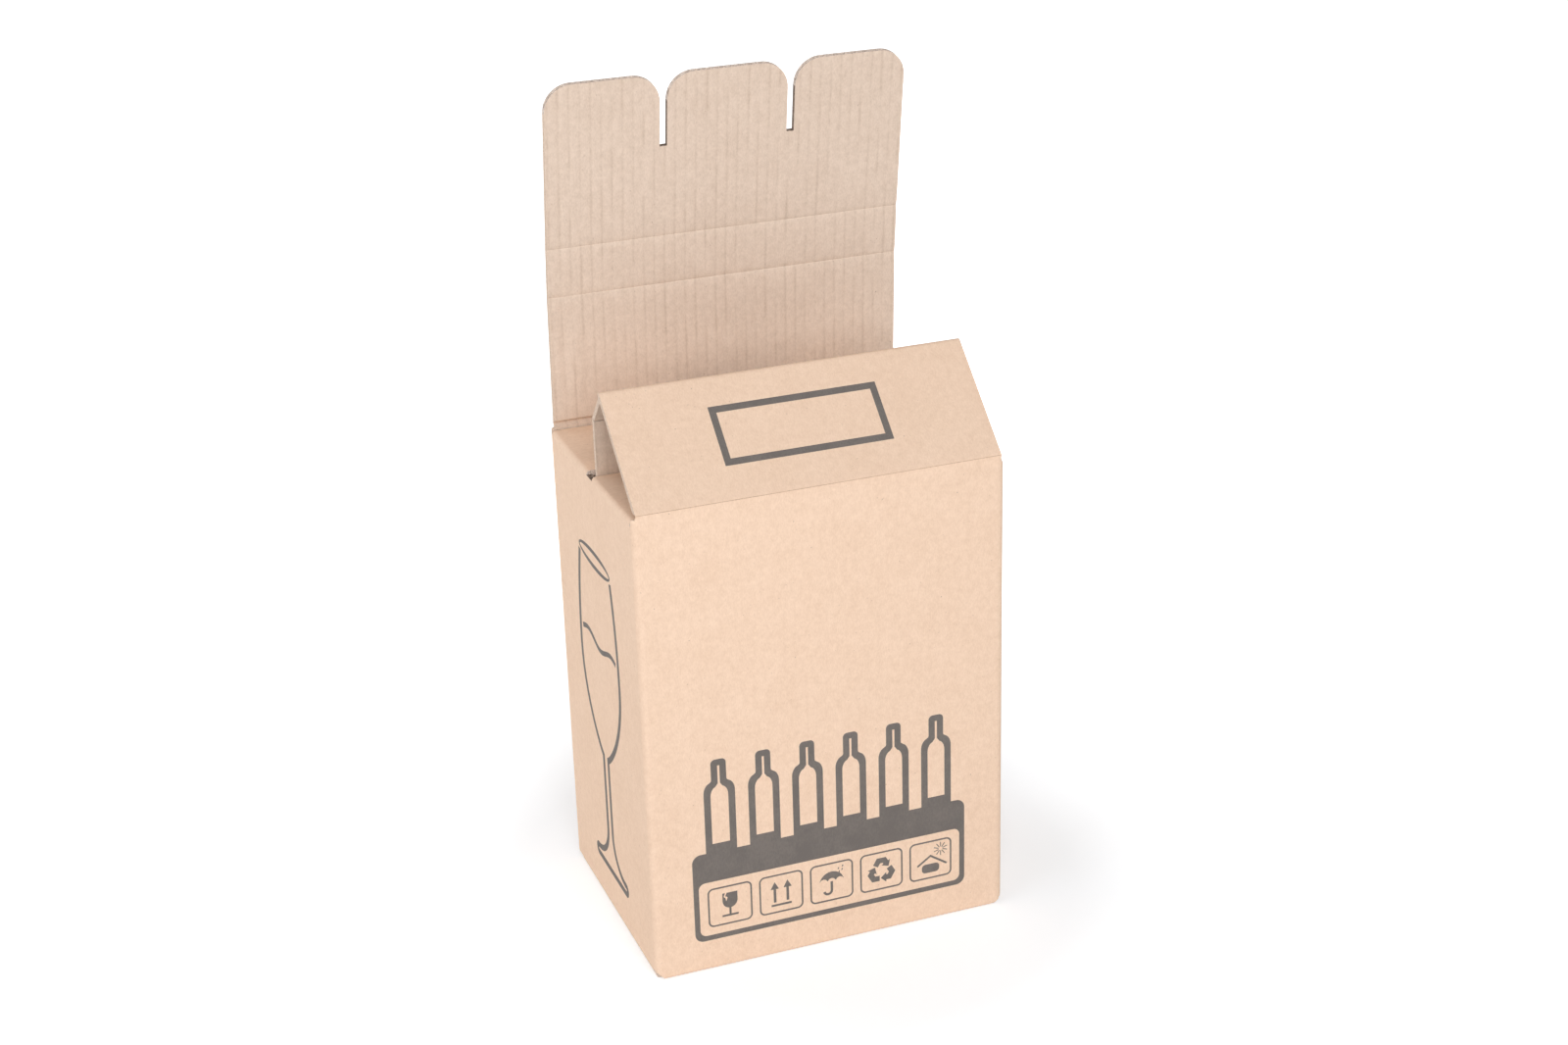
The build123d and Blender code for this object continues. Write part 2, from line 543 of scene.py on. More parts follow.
class NodeBench:
    """Node tree of one material, built up step by step on Object coordinates."""

    def __init__(self, name: str) -> None:
        """Start a material with a plain shader."""
        self.material = bpy.data.materials.new(name)
        self.material.use_nodes = True
        self.tree = self.material.node_tree
        self.shader = self.tree.nodes["Principled BSDF"]
        self.coords = self.tree.nodes.new("ShaderNodeTexCoord").outputs["Object"]

    def feed(self, socket: Socket, value: object) -> None:
        """Link a socket to another, or set its constant.

        Args:
            socket: The socket to feed.
            value: An output socket, or a number or colour.
        """
        if isinstance(value, Socket):
            self.tree.links.new(value, socket)
        else:
            socket.default_value = value

    def noise(self, scale: float, stretch: Sequence[float] = (1, 1, 1), detail: float = 2.0) -> Socket:
        """Noise pattern.

        Args:
            scale: How many features lie in a metre.
            stretch: How much the pattern is squeezed along each axis.
            detail: How many finer layers it has.

        Returns:
            The socket of its value.
        """
        mapping = self.tree.nodes.new("ShaderNodeMapping")
        mapping.inputs["Scale"].default_value = stretch
        self.tree.links.new(self.coords, mapping.inputs["Vector"])
        node = self.tree.nodes.new("ShaderNodeTexNoise")
        node.inputs["Scale"].default_value = scale
        node.inputs["Detail"].default_value = detail
        self.tree.links.new(mapping.outputs["Vector"], node.inputs["Vector"])
        return node.outputs["Fac"]

    def maths(self, operation: str, *values: object) -> Socket:
        """Arithmetic on sockets and numbers.

        Args:
            operation: Blender's name of the operation.
            *values: Sockets or numbers.

        Returns:
            The socket of the result.
        """
        node = self.tree.nodes.new("ShaderNodeMath")
        node.operation = operation
        for socket, value in zip(node.inputs, values):
            self.feed(socket, value)
        return node.outputs[0]

    def span(self, value: Socket, low: float, high: float, top: float = 1.0) -> Socket:
        """Stretch a value from between two limits to between zero and a top, clamped.

        Args:
            value: The socket to stretch.
            low: What becomes zero.
            high: What becomes the top.
            top: The highest result.

        Returns:
            The socket of the result.
        """
        node = self.tree.nodes.new("ShaderNodeMapRange")
        for name, number in (("From Min", low), ("From Max", high), ("To Min", 0.0), ("To Max", top)):
            node.inputs[name].default_value = number
        self.tree.links.new(value, node.inputs["Value"])
        return node.outputs["Result"]

    def mix(self, factor: object, first: object, second: object, kind: str = "MIX") -> Socket:
        """Mix two colours.

        Args:
            factor: Share of the second colour.
            first: The first colour or its socket.
            second: The second colour or its socket.
            kind: Blender's name of the way to mix.

        Returns:
            The socket of the mixed colour.
        """
        node = self.tree.nodes.new("ShaderNodeMix")
        node.data_type = "RGBA"
        node.blend_type = kind
        self.feed(node.inputs[0], factor)
        self.feed(node.inputs[6], first)
        self.feed(node.inputs[7], second)
        return node.outputs[2]

    def flute_lines(self, axis: Axis, pitch: float, sharpness: float) -> Socket:
        """Thin uneven lines where the flutes are glued to the liner.

        Args:
            axis: The axis that the lines are square to.
            pitch: Distance from line to line.
            sharpness: How thin the lines are.

        Returns:
            The socket of their strength.
        """
        split = self.tree.nodes.new("ShaderNodeSeparateXYZ")
        self.tree.links.new(self.coords, split.inputs["Vector"])
        phase = self.maths("MULTIPLY", split.outputs[axis.value], 2 * math.pi / pitch)
        wave = self.maths("MULTIPLY_ADD", self.maths("COSINE", phase), 0.5, 0.5)
        stretch = [1.0 if i == axis.value else 0.2 for i in range(3)]
        uneven = self.span(self.noise(scale=150.0, stretch=stretch, detail=4.0), low=0.36, high=0.66)
        return self.maths("MULTIPLY", self.maths("POWER", wave, sharpness), uneven)

    def relief(self, height: object, distance: float, strength: float = 1.0) -> None:
        """Bump the surface finely.

        Args:
            height: The socket of the height.
            distance: Height of the relief.
            strength: Share of it that shows.
        """
        bump = self.tree.nodes.new("ShaderNodeBump")
        bump.inputs["Distance"].default_value = distance
        bump.inputs["Strength"].default_value = strength
        self.feed(bump.inputs["Height"], height)
        self.tree.links.new(bump.outputs["Normal"], self.shader.inputs["Normal"])

    def finish(self, colour: Socket, roughness: float, gloss: float) -> Material:
        """Give the shader its colour and its shine.

        Args:
            colour: The socket of the colour.
            roughness: How much the shine is spread.
            gloss: How strong the shine is.

        Returns:
            The finished material.
        """
        for name, value in (("Base Color", colour), ("Roughness", roughness), ("Specular IOR Level", gloss)):
            self.feed(self.shader.inputs[name], value)
        return self.material


def srgb(red: int, green: int, blue: int) -> Colour:
    """Colour from display values of 0 to 255.

    Args:
        red: Red.
        green: Green.
        blue: Blue.

    Returns:
        The same colour in linear light, opaque.
    """
    values = [v / 255 for v in (red, green, blue)]
    linear = [v / 12.92 if v <= 0.04045 else ((v + 0.055) / 1.055) ** 2.4 for v in values]
    return (linear[0], linear[1], linear[2], 1.0)


@dataclass(frozen=True)
class KraftLiner:
    """Brown paper of the board's faces, with fibres, specks and the lines of the flutes behind it."""

    name: str
    pale: Colour
    deep: Colour
    flute_axis: Axis
    flute_pitch: float
    line_strength: float
    line_sharpness: float = 7.0
    cloud_strength: float = 0.14
    mottle_strength: float = 0.22
    fibre_strength: float = 0.36
    speck_strength: float = 0.5
    speck: Colour = srgb(150, 118, 94)
    fibre_stretch: float = 2.2
    fibre_height: float = 0.00004
    roughness: float = 0.86
    gloss: float = 0.18

    def material(self) -> Material:
        """Return the finish as a material."""
        bench = NodeBench(self.name)
        along = [self.fibre_stretch if i == self.flute_axis.value else 1.0 for i in range(3)]
        fibre = bench.noise(scale=560.0, stretch=along, detail=4.0)
        layers = (
            (bench.span(fibre, low=0.3, high=0.7), self.fibre_strength),
            (bench.span(bench.noise(scale=230.0, detail=2.0), low=0.3, high=0.7), self.mottle_strength),
            (bench.span(bench.noise(scale=34.0, detail=3.0), low=0.25, high=0.75), self.cloud_strength),
            (bench.flute_lines(self.flute_axis, self.flute_pitch, self.line_sharpness), self.line_strength),
        )
        shade: float | Socket = 0.0
        for layer, strength in layers:
            shade = bench.maths("MULTIPLY_ADD", layer, strength, shade)
        colour = bench.mix(bench.maths("MINIMUM", shade, 1.0), self.pale, self.deep)
        specks = bench.span(bench.noise(scale=620.0, detail=1.0), 0.76, 0.82, top=self.speck_strength)
        colour = bench.mix(specks, colour, self.speck)
        bench.relief(fibre, self.fibre_height, strength=0.5)
        return bench.finish(colour, self.roughness, self.gloss)


@dataclass(frozen=True)
class CutEdge:
    """Cut board: ragged paper between the liners."""

    name: str
    pale: Colour
    deep: Colour
    rag_height: float = 0.0002
    roughness: float = 0.95
    gloss: float = 0.1

    def material(self) -> Material:
        """Return the finish as a material."""
        bench = NodeBench(self.name)
        ragged = bench.span(bench.noise(scale=900.0, detail=4.0), low=0.35, high=0.7)
        bench.relief(ragged, self.rag_height, strength=0.6)
        return bench.finish(bench.mix(ragged, self.pale, self.deep), self.roughness, self.gloss)


@dataclass(frozen=True)
class PrintInk:
    """Matt grey printing ink, thin enough for the paper's fibres to show."""

    name: str = "grey_printing_ink"
    full: Colour = srgb(114, 108, 104)
    thin: Colour = srgb(124, 117, 112)
    roughness: float = 0.8
    gloss: float = 0.2

    def material(self) -> Material:
        """Return the finish as a material."""
        bench = NodeBench(self.name)
        fibre = bench.noise(scale=480.0, stretch=(2, 2, 1), detail=4.0)
        mottle = bench.span(bench.maths("MULTIPLY", fibre, bench.noise(scale=60.0)), low=0.16, high=0.36)
        return bench.finish(bench.mix(mottle, self.full, self.thin), self.roughness, self.gloss)


@dataclass
class Finishes:
    """All finishes of the box, made once."""

    flute_pitch: float
    outer: dict[Axis, Material] = field(default_factory=dict)
    inner: dict[Axis, Material] = field(default_factory=dict)
    edge: Material | None = None
    closed_edge: Material | None = None
    painted_shade_slot_edge: Material | None = None
    crushed_and_shaded_crease: Material | None = None
    ink: Material | None = None

    def make(self) -> None:
        """Make the materials, with liners for boards whose flutes lie side by side along X or along Y."""
        for axis in (Axis.X, Axis.Y):
            self.outer[axis] = KraftLiner(
                f"outer_liner_{axis.name.lower()}",
                pale=srgb(253, 224, 200),
                deep=srgb(227, 193, 165),
                flute_axis=axis,
                flute_pitch=self.flute_pitch,
                line_strength=0.05,
            ).material()
            self.inner[axis] = KraftLiner(
                f"inner_liner_{axis.name.lower()}",
                pale=srgb(239, 219, 202),
                deep=srgb(204, 181, 162),
                flute_axis=axis,
                flute_pitch=self.flute_pitch,
                line_strength=0.35,
            ).material()
        self.edge = CutEdge("cut_flute_edge", srgb(242, 229, 218), srgb(190, 174, 163)).material()
        self.closed_edge = CutEdge("cut_side_edge", srgb(236, 214, 196), srgb(206, 182, 162)).material()
        # Cut edges in the slots and notches: ragged cut paper, made darker as painted shade of these narrow
        # recesses.
        self.painted_shade_slot_edge = CutEdge("cut_slot_edge_painted_shade", srgb(172, 153, 140), srgb(100, 88, 80)).material()
        # Darker line along the creases: partly crushed fibres, partly painted shade of the crease's groove.
        self.crushed_and_shaded_crease = CutEdge("crushed_and_shaded_crease", srgb(222, 192, 167), srgb(196, 165, 141)).material()
        self.ink = PrintInk().material()


# Board


@dataclass(frozen=True)
class BoxSizes:
    """Driving sizes that the parts of the box share."""

    half_width: float = 0.125
    half_depth: float = 0.090
    height: float = 0.330
    flap_half_width: float = 0.1224
    leaf_half_width: float = 0.1208
    panel: float = 0.0888
    strip: float = 0.034
    slot_offset: float = 0.0435
    crease_gap: float = 0.00025
    rear_bevel: float = 0.00218
    leaf_bevel: float = 0.0017


SIZES = BoxSizes()


@dataclass(frozen=True)
class Board:
    """Corrugated board that the whole box is folded from."""

    thickness: float = 0.0040
    liner: float = 0.00048
    medium: float = 0.00045
    flute_pitch: float = 0.0071
    crease_radius: float = 0.0030
    face_inset: float = 0.00006
    band_lift: float = 0.00003
    washboard: float = 0.00014
    core_bite: float = 0.25
    hollow_share: float = 0.9
    hollow_least: float = 0.4
    hollow_steps: int = 10

    def core(self) -> float:
        """Return the thickness of the flutes' filling, which bites into both liners by a share of them."""
        return self.thickness - 2 * (1 - self.core_bite) * self.liner

    def flute_loops(self, start: float, end: float) -> list[Loop]:
        """Outlines of the hollows between the liners and the flutes, across the board.

        Args:
            start: Where the cut board begins.
            end: Where it ends.

        Returns:
            One outline for each hollow, as places across and heights through the board.
        """
        middle = self.thickness / 2
        height = middle - self.liner - self.medium / 2
        half = self.flute_pitch / 2
        reach = self.hollow_share * half
        loops: list[Loop] = []
        for count in range(math.floor(start / half), math.ceil(end / half) + 1):
            side = 1 if count % 2 == 0 else -1
            low, high = max(count * half - reach, start), min(count * half + reach, end)
            if high - low < self.hollow_least * half:
                continue
            wave: Loop = []
            for step in range(self.hollow_steps + 1):
                x = low + (high - low) * step / self.hollow_steps
                swing = height * math.cos(math.pi * (x / half - count))
                wave.append((x, middle + side * (swing - self.medium / 2)))
            flat = middle - side * (middle - self.liner)
            loops.append([(low, flat)] + wave + [(high, flat)])
        return loops

    def hollow(self, piece: Piece, spans: Sequence[Point], place: Matrix, length: float) -> None:
        """Open the flutes of a board at a cut edge.

        Args:
            piece: The board as a solid.
            spans: Stretches across the board that show flutes, each with its start and end.
            place: The middle of the hollows, with the drawing's axes across and through the board.
            length: How long the hollows are.
        """
        loops = [loop for start, end in spans for loop in self.flute_loops(start, end)]
        take_from(piece, plate("flute_hollows", loops, length, place))


@dataclass(frozen=True)
class LobedLeaf:
    """Leaf with three rounded lobes, parted by two slots."""

    half_width: float
    length: float = 0.1115
    slot_offset: float = SIZES.slot_offset
    slot_width: float = 0.005
    slot_depth: float = 0.0485
    lobe_radius: float = 0.018
    edge_wall: float = 0.0004
    flute_depth: float = 0.012
    flute_past: float = 0.008
    arc_steps: int = 14

    def lobes(self) -> list[Point]:
        """Return the lobes from right to left, each with its lower and upper place across the leaf."""
        inner = self.slot_offset - self.slot_width / 2
        outer = self.slot_offset + self.slot_width / 2
        return [(outer, self.half_width), (-inner, inner), (-self.half_width, -outer)]

    def outline(self, root: float, score: float) -> Loop:
        """Outline of a board that ends in the leaf.

        Args:
            root: Where the board begins, along the leaf.
            score: Where the leaf begins.

        Returns:
            The outline, counter-clockwise.
        """
        tip = score + self.length
        middle = tip - self.lobe_radius
        points: Loop = [(-self.half_width, root), (self.half_width, root)]
        for low, high in self.lobes():
            points += arc((high - self.lobe_radius, middle), self.lobe_radius, 0, 90, self.arc_steps)
            points += arc((low + self.lobe_radius, middle), self.lobe_radius, 90, 180, self.arc_steps)
            if low > -self.half_width:
                points += [(low, tip - self.slot_depth), (low - self.slot_width, tip - self.slot_depth)]
        return points

    def shrunk(self, step: float) -> "LobedLeaf":
        """Return the same leaf with its free edges moved in by a step."""
        return replace(
            self,
            half_width=self.half_width - step,
            length=self.length - step,
            slot_width=self.slot_width + 2 * step,
            lobe_radius=self.lobe_radius - step,
        )

    def flute_spans(self) -> list[Point]:
        """Return the stretches that show open flutes: each lobe and each slot's foot."""
        edges = sorted(place for lobe in self.lobes() for place in lobe)
        return [(a + self.edge_wall, b - self.edge_wall) for a, b in zip(edges, edges[1:])]

    def flute_start(self, score: float) -> float:
        """Return where the open flutes begin below the slots, on a board whose leaf begins at a score."""
        return score + self.length - self.slot_depth - self.flute_depth

    def open_flutes(self, piece: Piece, board: Board, score: float) -> None:
        """Open the flutes at the lobes' edges and at the feet of the slots.

        Args:
            piece: The flat board that ends in the leaf.
            board: Its flutes.
            score: Where the leaf begins.
        """
        length = self.flute_depth + self.slot_depth + self.flute_past
        middle = (0.0, self.flute_start(score) + length / 2, 0.0)
        board.hollow(piece, self.flute_spans(), place_on(middle, Axis.X.unit(), Axis.Z.unit()), length)

    def dress(self, piece: Piece, board: Board, finishes: Finishes, inner_up: bool) -> None:
        """Give a flat board that ends in the leaf its liners and its cut edges.

        Args:
            piece: The flat board.
            board: Its thickness.
            finishes: The finishes to take from.
            inner_up: Whether the inside of the box lies upwards.
        """
        top, foot = finishes.outer[Axis.X], finishes.inner[Axis.X]
        if inner_up:
            top, foot = foot, top

        def look(face: Face) -> Material:
            """Return the liner or the cut edge that a face shows."""
            level, across = face.normal.z, abs(face.center.x)
            height = face.center.z / board.thickness
            if level > 0.7 and height > 0.6:
                return top
            if level < -0.7 and height < 0.05:
                return foot
            if across > self.half_width - NEAR:
                return finishes.closed_edge
            # Edges inside the slots take the darker cut edge, which is painted shade.
            in_slot = abs(across - self.slot_offset) < self.slot_width / 2 + NEAR
            return finishes.painted_shade_slot_edge if in_slot else finishes.edge

        dress_faces(piece, look)


@dataclass(frozen=True)
class Dent:
    """Soft dent in the inside of the rear flap."""

    across: float
    along: float
    half_width: float
    half_length: float
    deepest: float

    def depth(self, x: float, v: float) -> float:
        """Return the depth at a place across and along the flap."""
        beside, beyond = (x - self.across) / self.half_width, (v - self.along) / self.half_length
        return self.deepest * math.exp(-(beside**2) - beyond**2)


@dataclass
class RearFlap:
    """Rear top flap, standing open: panel, strip and lobed leaf, bent a little at two scores."""

    board: Board
    finishes: Finishes
    leaf: LobedLeaf = LobedLeaf(half_width=SIZES.flap_half_width)
    crease: Point = (SIZES.half_depth, SIZES.height)
    root_gap: float = SIZES.crease_gap
    panel: float = SIZES.panel
    strip: float = SIZES.strip
    panel_lean: float = 3.2
    strip_bend: float = 4.0
    leaf_bend: float = 1.8
    root_bevel: float = SIZES.rear_bevel
    score_depth: float = 0.00085
    score_width: float = 0.0021
    score_rows: tuple[float, ...] = (0.0, -2.0, -1.0, -0.5, -0.2, 0.2, 0.5, 1.0, 2.0)
    flute_depth: float = 0.0008
    columns_per_flute: int = 4
    spare_columns: int = 4
    row: float = 0.004
    trim_height: float = 0.02
    dents: tuple[Dent, ...] = (
        Dent(across=-0.112, along=0.050, half_width=0.0035, half_length=0.026, deepest=0.0006),
        Dent(across=-0.097, along=0.042, half_width=0.0030, half_length=0.030, deepest=0.0005),
        Dent(across=-0.104, along=0.076, half_width=0.0080, half_length=0.006, deepest=0.0004),
    )

    def score(self) -> float:
        """Return where the leaf begins."""
        return self.panel + self.strip

    def sunk(self, x: float, v: float) -> float:
        """How deep the inner liner lies below its plane: washboard, scores and soft dents.

        Args:
            x: Place across the flap.
            v: Place along the flap from the crease.

        Returns:
            The depth.
        """
        depth = self.board.washboard * (0.5 + 0.5 * math.cos(2 * math.pi * x / self.board.flute_pitch))
        for score in (self.panel, self.score()):
            depth += self.score_depth * math.exp(-abs(v - score) / self.score_width)
        return depth + sum(dent.depth(x, v) for dent in self.dents)

    def flat(self) -> Piece:
        """Return the flap as a flat board, inside up, its crease along X."""
        length = self.score() + self.leaf.length + self.row
        flutes = 2 * self.leaf.half_width / self.board.flute_pitch
        columns = round(flutes * self.columns_per_flute) + self.spare_columns
        deselect_all()
        bpy.ops.mesh.primitive_grid_add(
            x_subdivisions=columns, y_subdivisions=round(length / self.row), size=2.0
        )
        piece = bpy.context.view_layer.objects.active
        piece.name = "rear_flap_board"
        half_span = self.leaf.half_width + self.row
        for vertex in piece.data.vertices:
            vertex.co.x *= half_span
            vertex.co.y = (vertex.co.y + 1) / 2 * length
        steps = [self.score_width * step for step in self.score_rows]
        with editing(piece):
            cut(Axis.Y, [place + step for place in (self.panel, self.score()) for step in steps])
        for vertex in piece.data.vertices:
            vertex.co.z = self.board.thickness - self.sunk(vertex.co.x, vertex.co.y)
        thicken(piece, self.board.thickness)
        for vertex in piece.data.vertices:
            if vertex.co.z < self.board.thickness / 2:
                vertex.co.z = self.board.face_inset
        outline = self.leaf.outline(self.root_gap, self.score())
        keep_inside(piece, plate("flap_outline", [outline], self.trim_height, Matrix.Identity(4)))
        return piece

    def build(self) -> Piece:
        """Return the dressed flap in its place."""
        piece, score, middle = self.flat(), self.score(), self.board.thickness / 2
        self.leaf.open_flutes(piece, self.board, score)
        filling = self.leaf.shrunk(self.flute_depth).outline(self.leaf.flute_start(score) - self.row, score)
        level = place_on((0.0, 0.0, middle), Axis.X.unit(), Axis.Y.unit())
        add_to(piece, plate("flute_filling", [filling], self.board.core(), level))
        self.leaf.dress(piece, self.board, self.finishes, inner_up=True)
        with editing(piece):
            nudge(lambda at: at.y < self.root_gap + TOUCH and at.z > middle, 0.0, self.root_bevel, 0.0)
            turn(lambda at: at.y > score - TOUCH, self.leaf_bend, score, 0.0)
            turn(lambda at: at.y > self.panel - TOUCH, self.strip_bend, self.panel, 0.0)
            turn(everywhere, 90 + self.panel_lean, 0.0, 0.0)
            nudge(everywhere, 0.0, *self.crease)
        smooth(piece)
        settle(piece, "back_flap", "back_flap")
        return piece


@dataclass
class FrontFlap:
    """Front top flap, half closed: printed panel and the strip turned down from its ridge."""

    board: Board
    finishes: Finishes
    half_width: float = SIZES.flap_half_width
    strip_half_width: float = SIZES.leaf_half_width
    crease: Point = (-SIZES.half_depth, SIZES.height)
    root_gap: float = 0.0007
    gap: float = SIZES.crease_gap
    panel: float = SIZES.panel
    strip: float = SIZES.strip
    strip_bevel: float = SIZES.leaf_bevel

    def angle(self) -> float:
        """Return the angle of the panel above level, in degrees."""
        return 2 * math.degrees(math.atan2(self.strip, self.panel))

    def panel_plane(self) -> Matrix:
        """Return the plane of the panel's outer face, from its crease up, for drawings in millimetres."""
        up = Vector((0.0, *heading(self.angle())))
        origin = Vector((0.0, *self.crease)) - Axis.X.unit().cross(up) * self.board.face_inset
        return place_on(origin, Axis.X.unit(), up, MM)

    def build(self) -> Piece:
        """Return the dressed panel and strip in their place."""
        thickness, inset = self.board.thickness, self.board.face_inset
        start, wide, tip = self.root_gap, self.strip_half_width, self.gap - self.strip
        inside, under = self.panel - thickness, TOUCH - thickness
        low, high = (-self.half_width, start, -thickness), (self.half_width, self.panel - inset, -inset)
        piece = block("front_flap_board", low, high)
        with editing(piece):
            cut(Axis.X, (-wide, wide))
            cut(Axis.Y, (inside,))
            pick(Element.FACES, lambda at: at.z < under and at.y > inside and abs(at.x) < wide)
            bpy.ops.mesh.extrude_region_move(TRANSFORM_OT_translate={"value": (0.0, 0.0, tip + thickness)})
            nudge(lambda at: at.z < tip + TOUCH and at.y < inside + TOUCH, 0.0, 0.0, self.strip_bevel)
            nudge(lambda at: at.y < start + TOUCH and at.z < under, 0.0, thickness - inset, 0.0)
        ridge = Vector(high).yz
        round_edges(piece, lambda at: (at.yz - ridge).length < TOUCH, self.board.crease_radius)
        dress_faces(piece, self.look)
        with editing(piece):
            turn(everywhere, self.angle(), 0.0, 0.0)
            nudge(everywhere, 0.0, *self.crease)
        smooth(piece)
        settle(piece, "front_flap", "front_flap")
        return piece

    def look(self, face: Face) -> Material:
        """Liner or cut edge that a face of the panel or the strip shows.

        Args:
            face: A face of the flap before it is turned.

        Returns:
            The material.
        """
        if abs(face.normal.x) > 0.5:
            return self.finishes.closed_edge
        outward = face.normal.z + face.normal.y > 0.5
        return (self.finishes.outer if outward else self.finishes.inner)[Axis.X]


@dataclass
class FrontLeaf:
    """Lobed leaf of the front flap, upright in the slots of the side flaps."""

    board: Board
    finishes: Finishes
    leaf: LobedLeaf = LobedLeaf(half_width=SIZES.leaf_half_width)
    hinge: Point = (SIZES.panel - SIZES.half_depth, SIZES.height + SIZES.strip)
    gap: float = SIZES.crease_gap
    bevel: float = SIZES.leaf_bevel

    def build(self) -> Piece:
        """Return the dressed leaf in its place."""
        thickness, middle = self.board.thickness, self.board.thickness / 2
        level = place_on((0.0, 0.0, middle), Axis.X.unit(), Axis.Y.unit())
        piece = plate("front_leaf_board", [self.leaf.outline(self.gap, 0.0)], thickness, level)
        self.leaf.open_flutes(piece, self.board, 0.0)
        self.leaf.dress(piece, self.board, self.finishes, inner_up=False)
        with editing(piece):
            nudge(lambda at: at.y < self.gap + TOUCH and at.z < middle, 0.0, self.bevel, 0.0)
            turn(everywhere, -90.0, 0.0, 0.0)
            nudge(everywhere, 0.0, self.hinge[0] - thickness, self.hinge[1])
        smooth(piece)
        settle(piece, "front_leaf", "front_leaf")
        return piece


@dataclass
class BoxBody:
    """Walls, bottom flaps and folded-in side flaps of the box, all of one sheet."""

    board: Board
    finishes: Finishes
    half_width: float = SIZES.half_width
    half_depth: float = SIZES.half_depth
    height: float = SIZES.height
    wall_top: float = SIZES.height - SIZES.crease_gap
    side_top: float = field(init=False)
    fold_radius: float = 0.005
    flap_half_width: float = SIZES.flap_half_width
    side_flap_half: float = 0.085
    divider_offset: float = SIZES.slot_offset
    divider_length: float = 0.157
    divider_bottom: float = field(init=False)
    divider_slot_bottom: float = 0.231
    slot_half: float = 0.006
    slot_floor: float = 0.3230
    corner_slot_floor: float = 0.3270
    corner_slants: tuple[float, float] = (0.0003, 0.0045)
    foot_corner: Point = (0.0068, 0.0072)
    bottom_seam: float = 0.001
    rear_bevel: float = SIZES.rear_bevel
    crease_press: float = 0.0004
    tab_width: float = 0.035
    tab_thickness: float = 0.0025
    tab_end_gap: float = 0.012
    joint_seam: float = 0.0008
    flute_length: float = 0.030
    flute_wall: float = 0.0003
    fold_steps: int = 8
    overlap: float = 0.0005
    past: float = 0.020
    slack: float = 0.0002
    wall_skin: float = 0.0016
    fold_skin: float = 0.0032

    def __post_init__(self) -> None:
        """Lay the side flaps one board below the walls' top, with the dividers down from there."""
        self.side_top = self.wall_top - self.board.thickness
        self.divider_bottom = self.side_top - self.divider_length

    def walls(self) -> Piece:
        """Return the four walls as a tube with rounded upright folds."""
        x, y = self.half_width - self.board.face_inset, self.half_depth - self.board.face_inset
        foot = self.board.thickness - self.overlap
        tube = block("box_board", (-x, -y, foot), (x, y, self.wall_top))
        round_edges(
            tube,
            lambda at: abs(at.x) > x - TOUCH and abs(at.y) > y - TOUCH,
            self.fold_radius,
            self.fold_steps,
        )
        with editing(tube):
            remove_faces(lambda at: at.z < foot + TOUCH or at.z > self.wall_top - TOUCH)
        thicken(tube, self.board.thickness - self.board.face_inset)
        return tube

    def trim_walls(self, tube: Piece) -> None:
        """Let the side walls end at their flaps and bevel the front and rear walls inside their creases.

        Args:
            tube: The walls.
        """
        reach, thickness = self.half_width + self.past, self.board.thickness
        inside = self.half_depth - thickness
        top = self.side_top - thickness + self.overlap
        take_from(tube, block("cut", (-reach, -inside, top), (reach, inside, self.height + self.past)))
        flap, foot = self.side_flap_half, 2 * thickness - self.overlap
        take_from(tube, block("cut", (-reach, -flap, 0.0), (reach, flap, foot)))
        loops: list[Loop] = []
        for sign, drop, press in ((-1, thickness, self.crease_press), (1, self.rear_bevel, 0.0)):
            outside, edge, inner = (sign * y for y in (self.half_depth, inside, inside - thickness))
            rim, low, over = self.wall_top - press, self.wall_top - drop, self.wall_top + self.past
            loops.append([(outside, rim), (edge, low), (inner, low), (inner, over), (outside, over)])
        place = place_on((0.0, 0.0, 0.0), Axis.Y.unit(), Axis.Z.unit())
        take_from(tube, plate("cut", loops, 2 * reach, place))

    def side_flap(self, side: Side) -> Piece:
        """One side flap, folded in at the wall and down again as a divider.

        Args:
            side: Left or right.

        Returns:
            The flap as a closed solid.
        """
        sign, thickness, inset = side.value, self.board.thickness, self.board.face_inset
        near = self.divider_offset - thickness / 2
        far = near + thickness
        low_x, high_x = sorted((sign * near, sign * far))
        reach = self.side_flap_half
        piece = block("side_flap", (low_x, -reach, self.divider_bottom), (high_x, reach, self.side_top))
        with editing(piece):
            cut(Axis.Z, (self.side_top - thickness,))
            pick(Element.FACES, lambda at: sign * at.x > far - TOUCH and at.z > self.side_top - thickness)
            run = sign * (self.half_width - inset - far)
            bpy.ops.mesh.extrude_region_move(TRANSFORM_OT_translate={"value": (run, 0.0, 0.0)})
        folds = (near, self.half_width - inset)
        round_edges(
            piece,
            lambda at: at.z > self.side_top - TOUCH and min(abs(abs(at.x) - fold) for fold in folds) < TOUCH,
            self.board.crease_radius,
        )
        return piece

    def bottom_flap(self, low: Sequence[float], high: Sequence[float], fold: Axis, sign: int) -> Piece:
        """One bottom flap with its rounded fold.

        Args:
            low: Its lowest corner.
            high: Its highest corner.
            fold: The axis on which its fold lies outermost.
            sign: On which side of that axis.

        Returns:
            The flap as a closed solid.
        """
        piece = block("bottom_flap", low, high)
        outside = max(sign * low[fold.value], sign * high[fold.value])
        round_edges(
            piece,
            lambda at: at.z < low[2] + TOUCH and sign * at[fold.value] > outside - TOUCH,
            self.board.crease_radius,
        )
        return piece

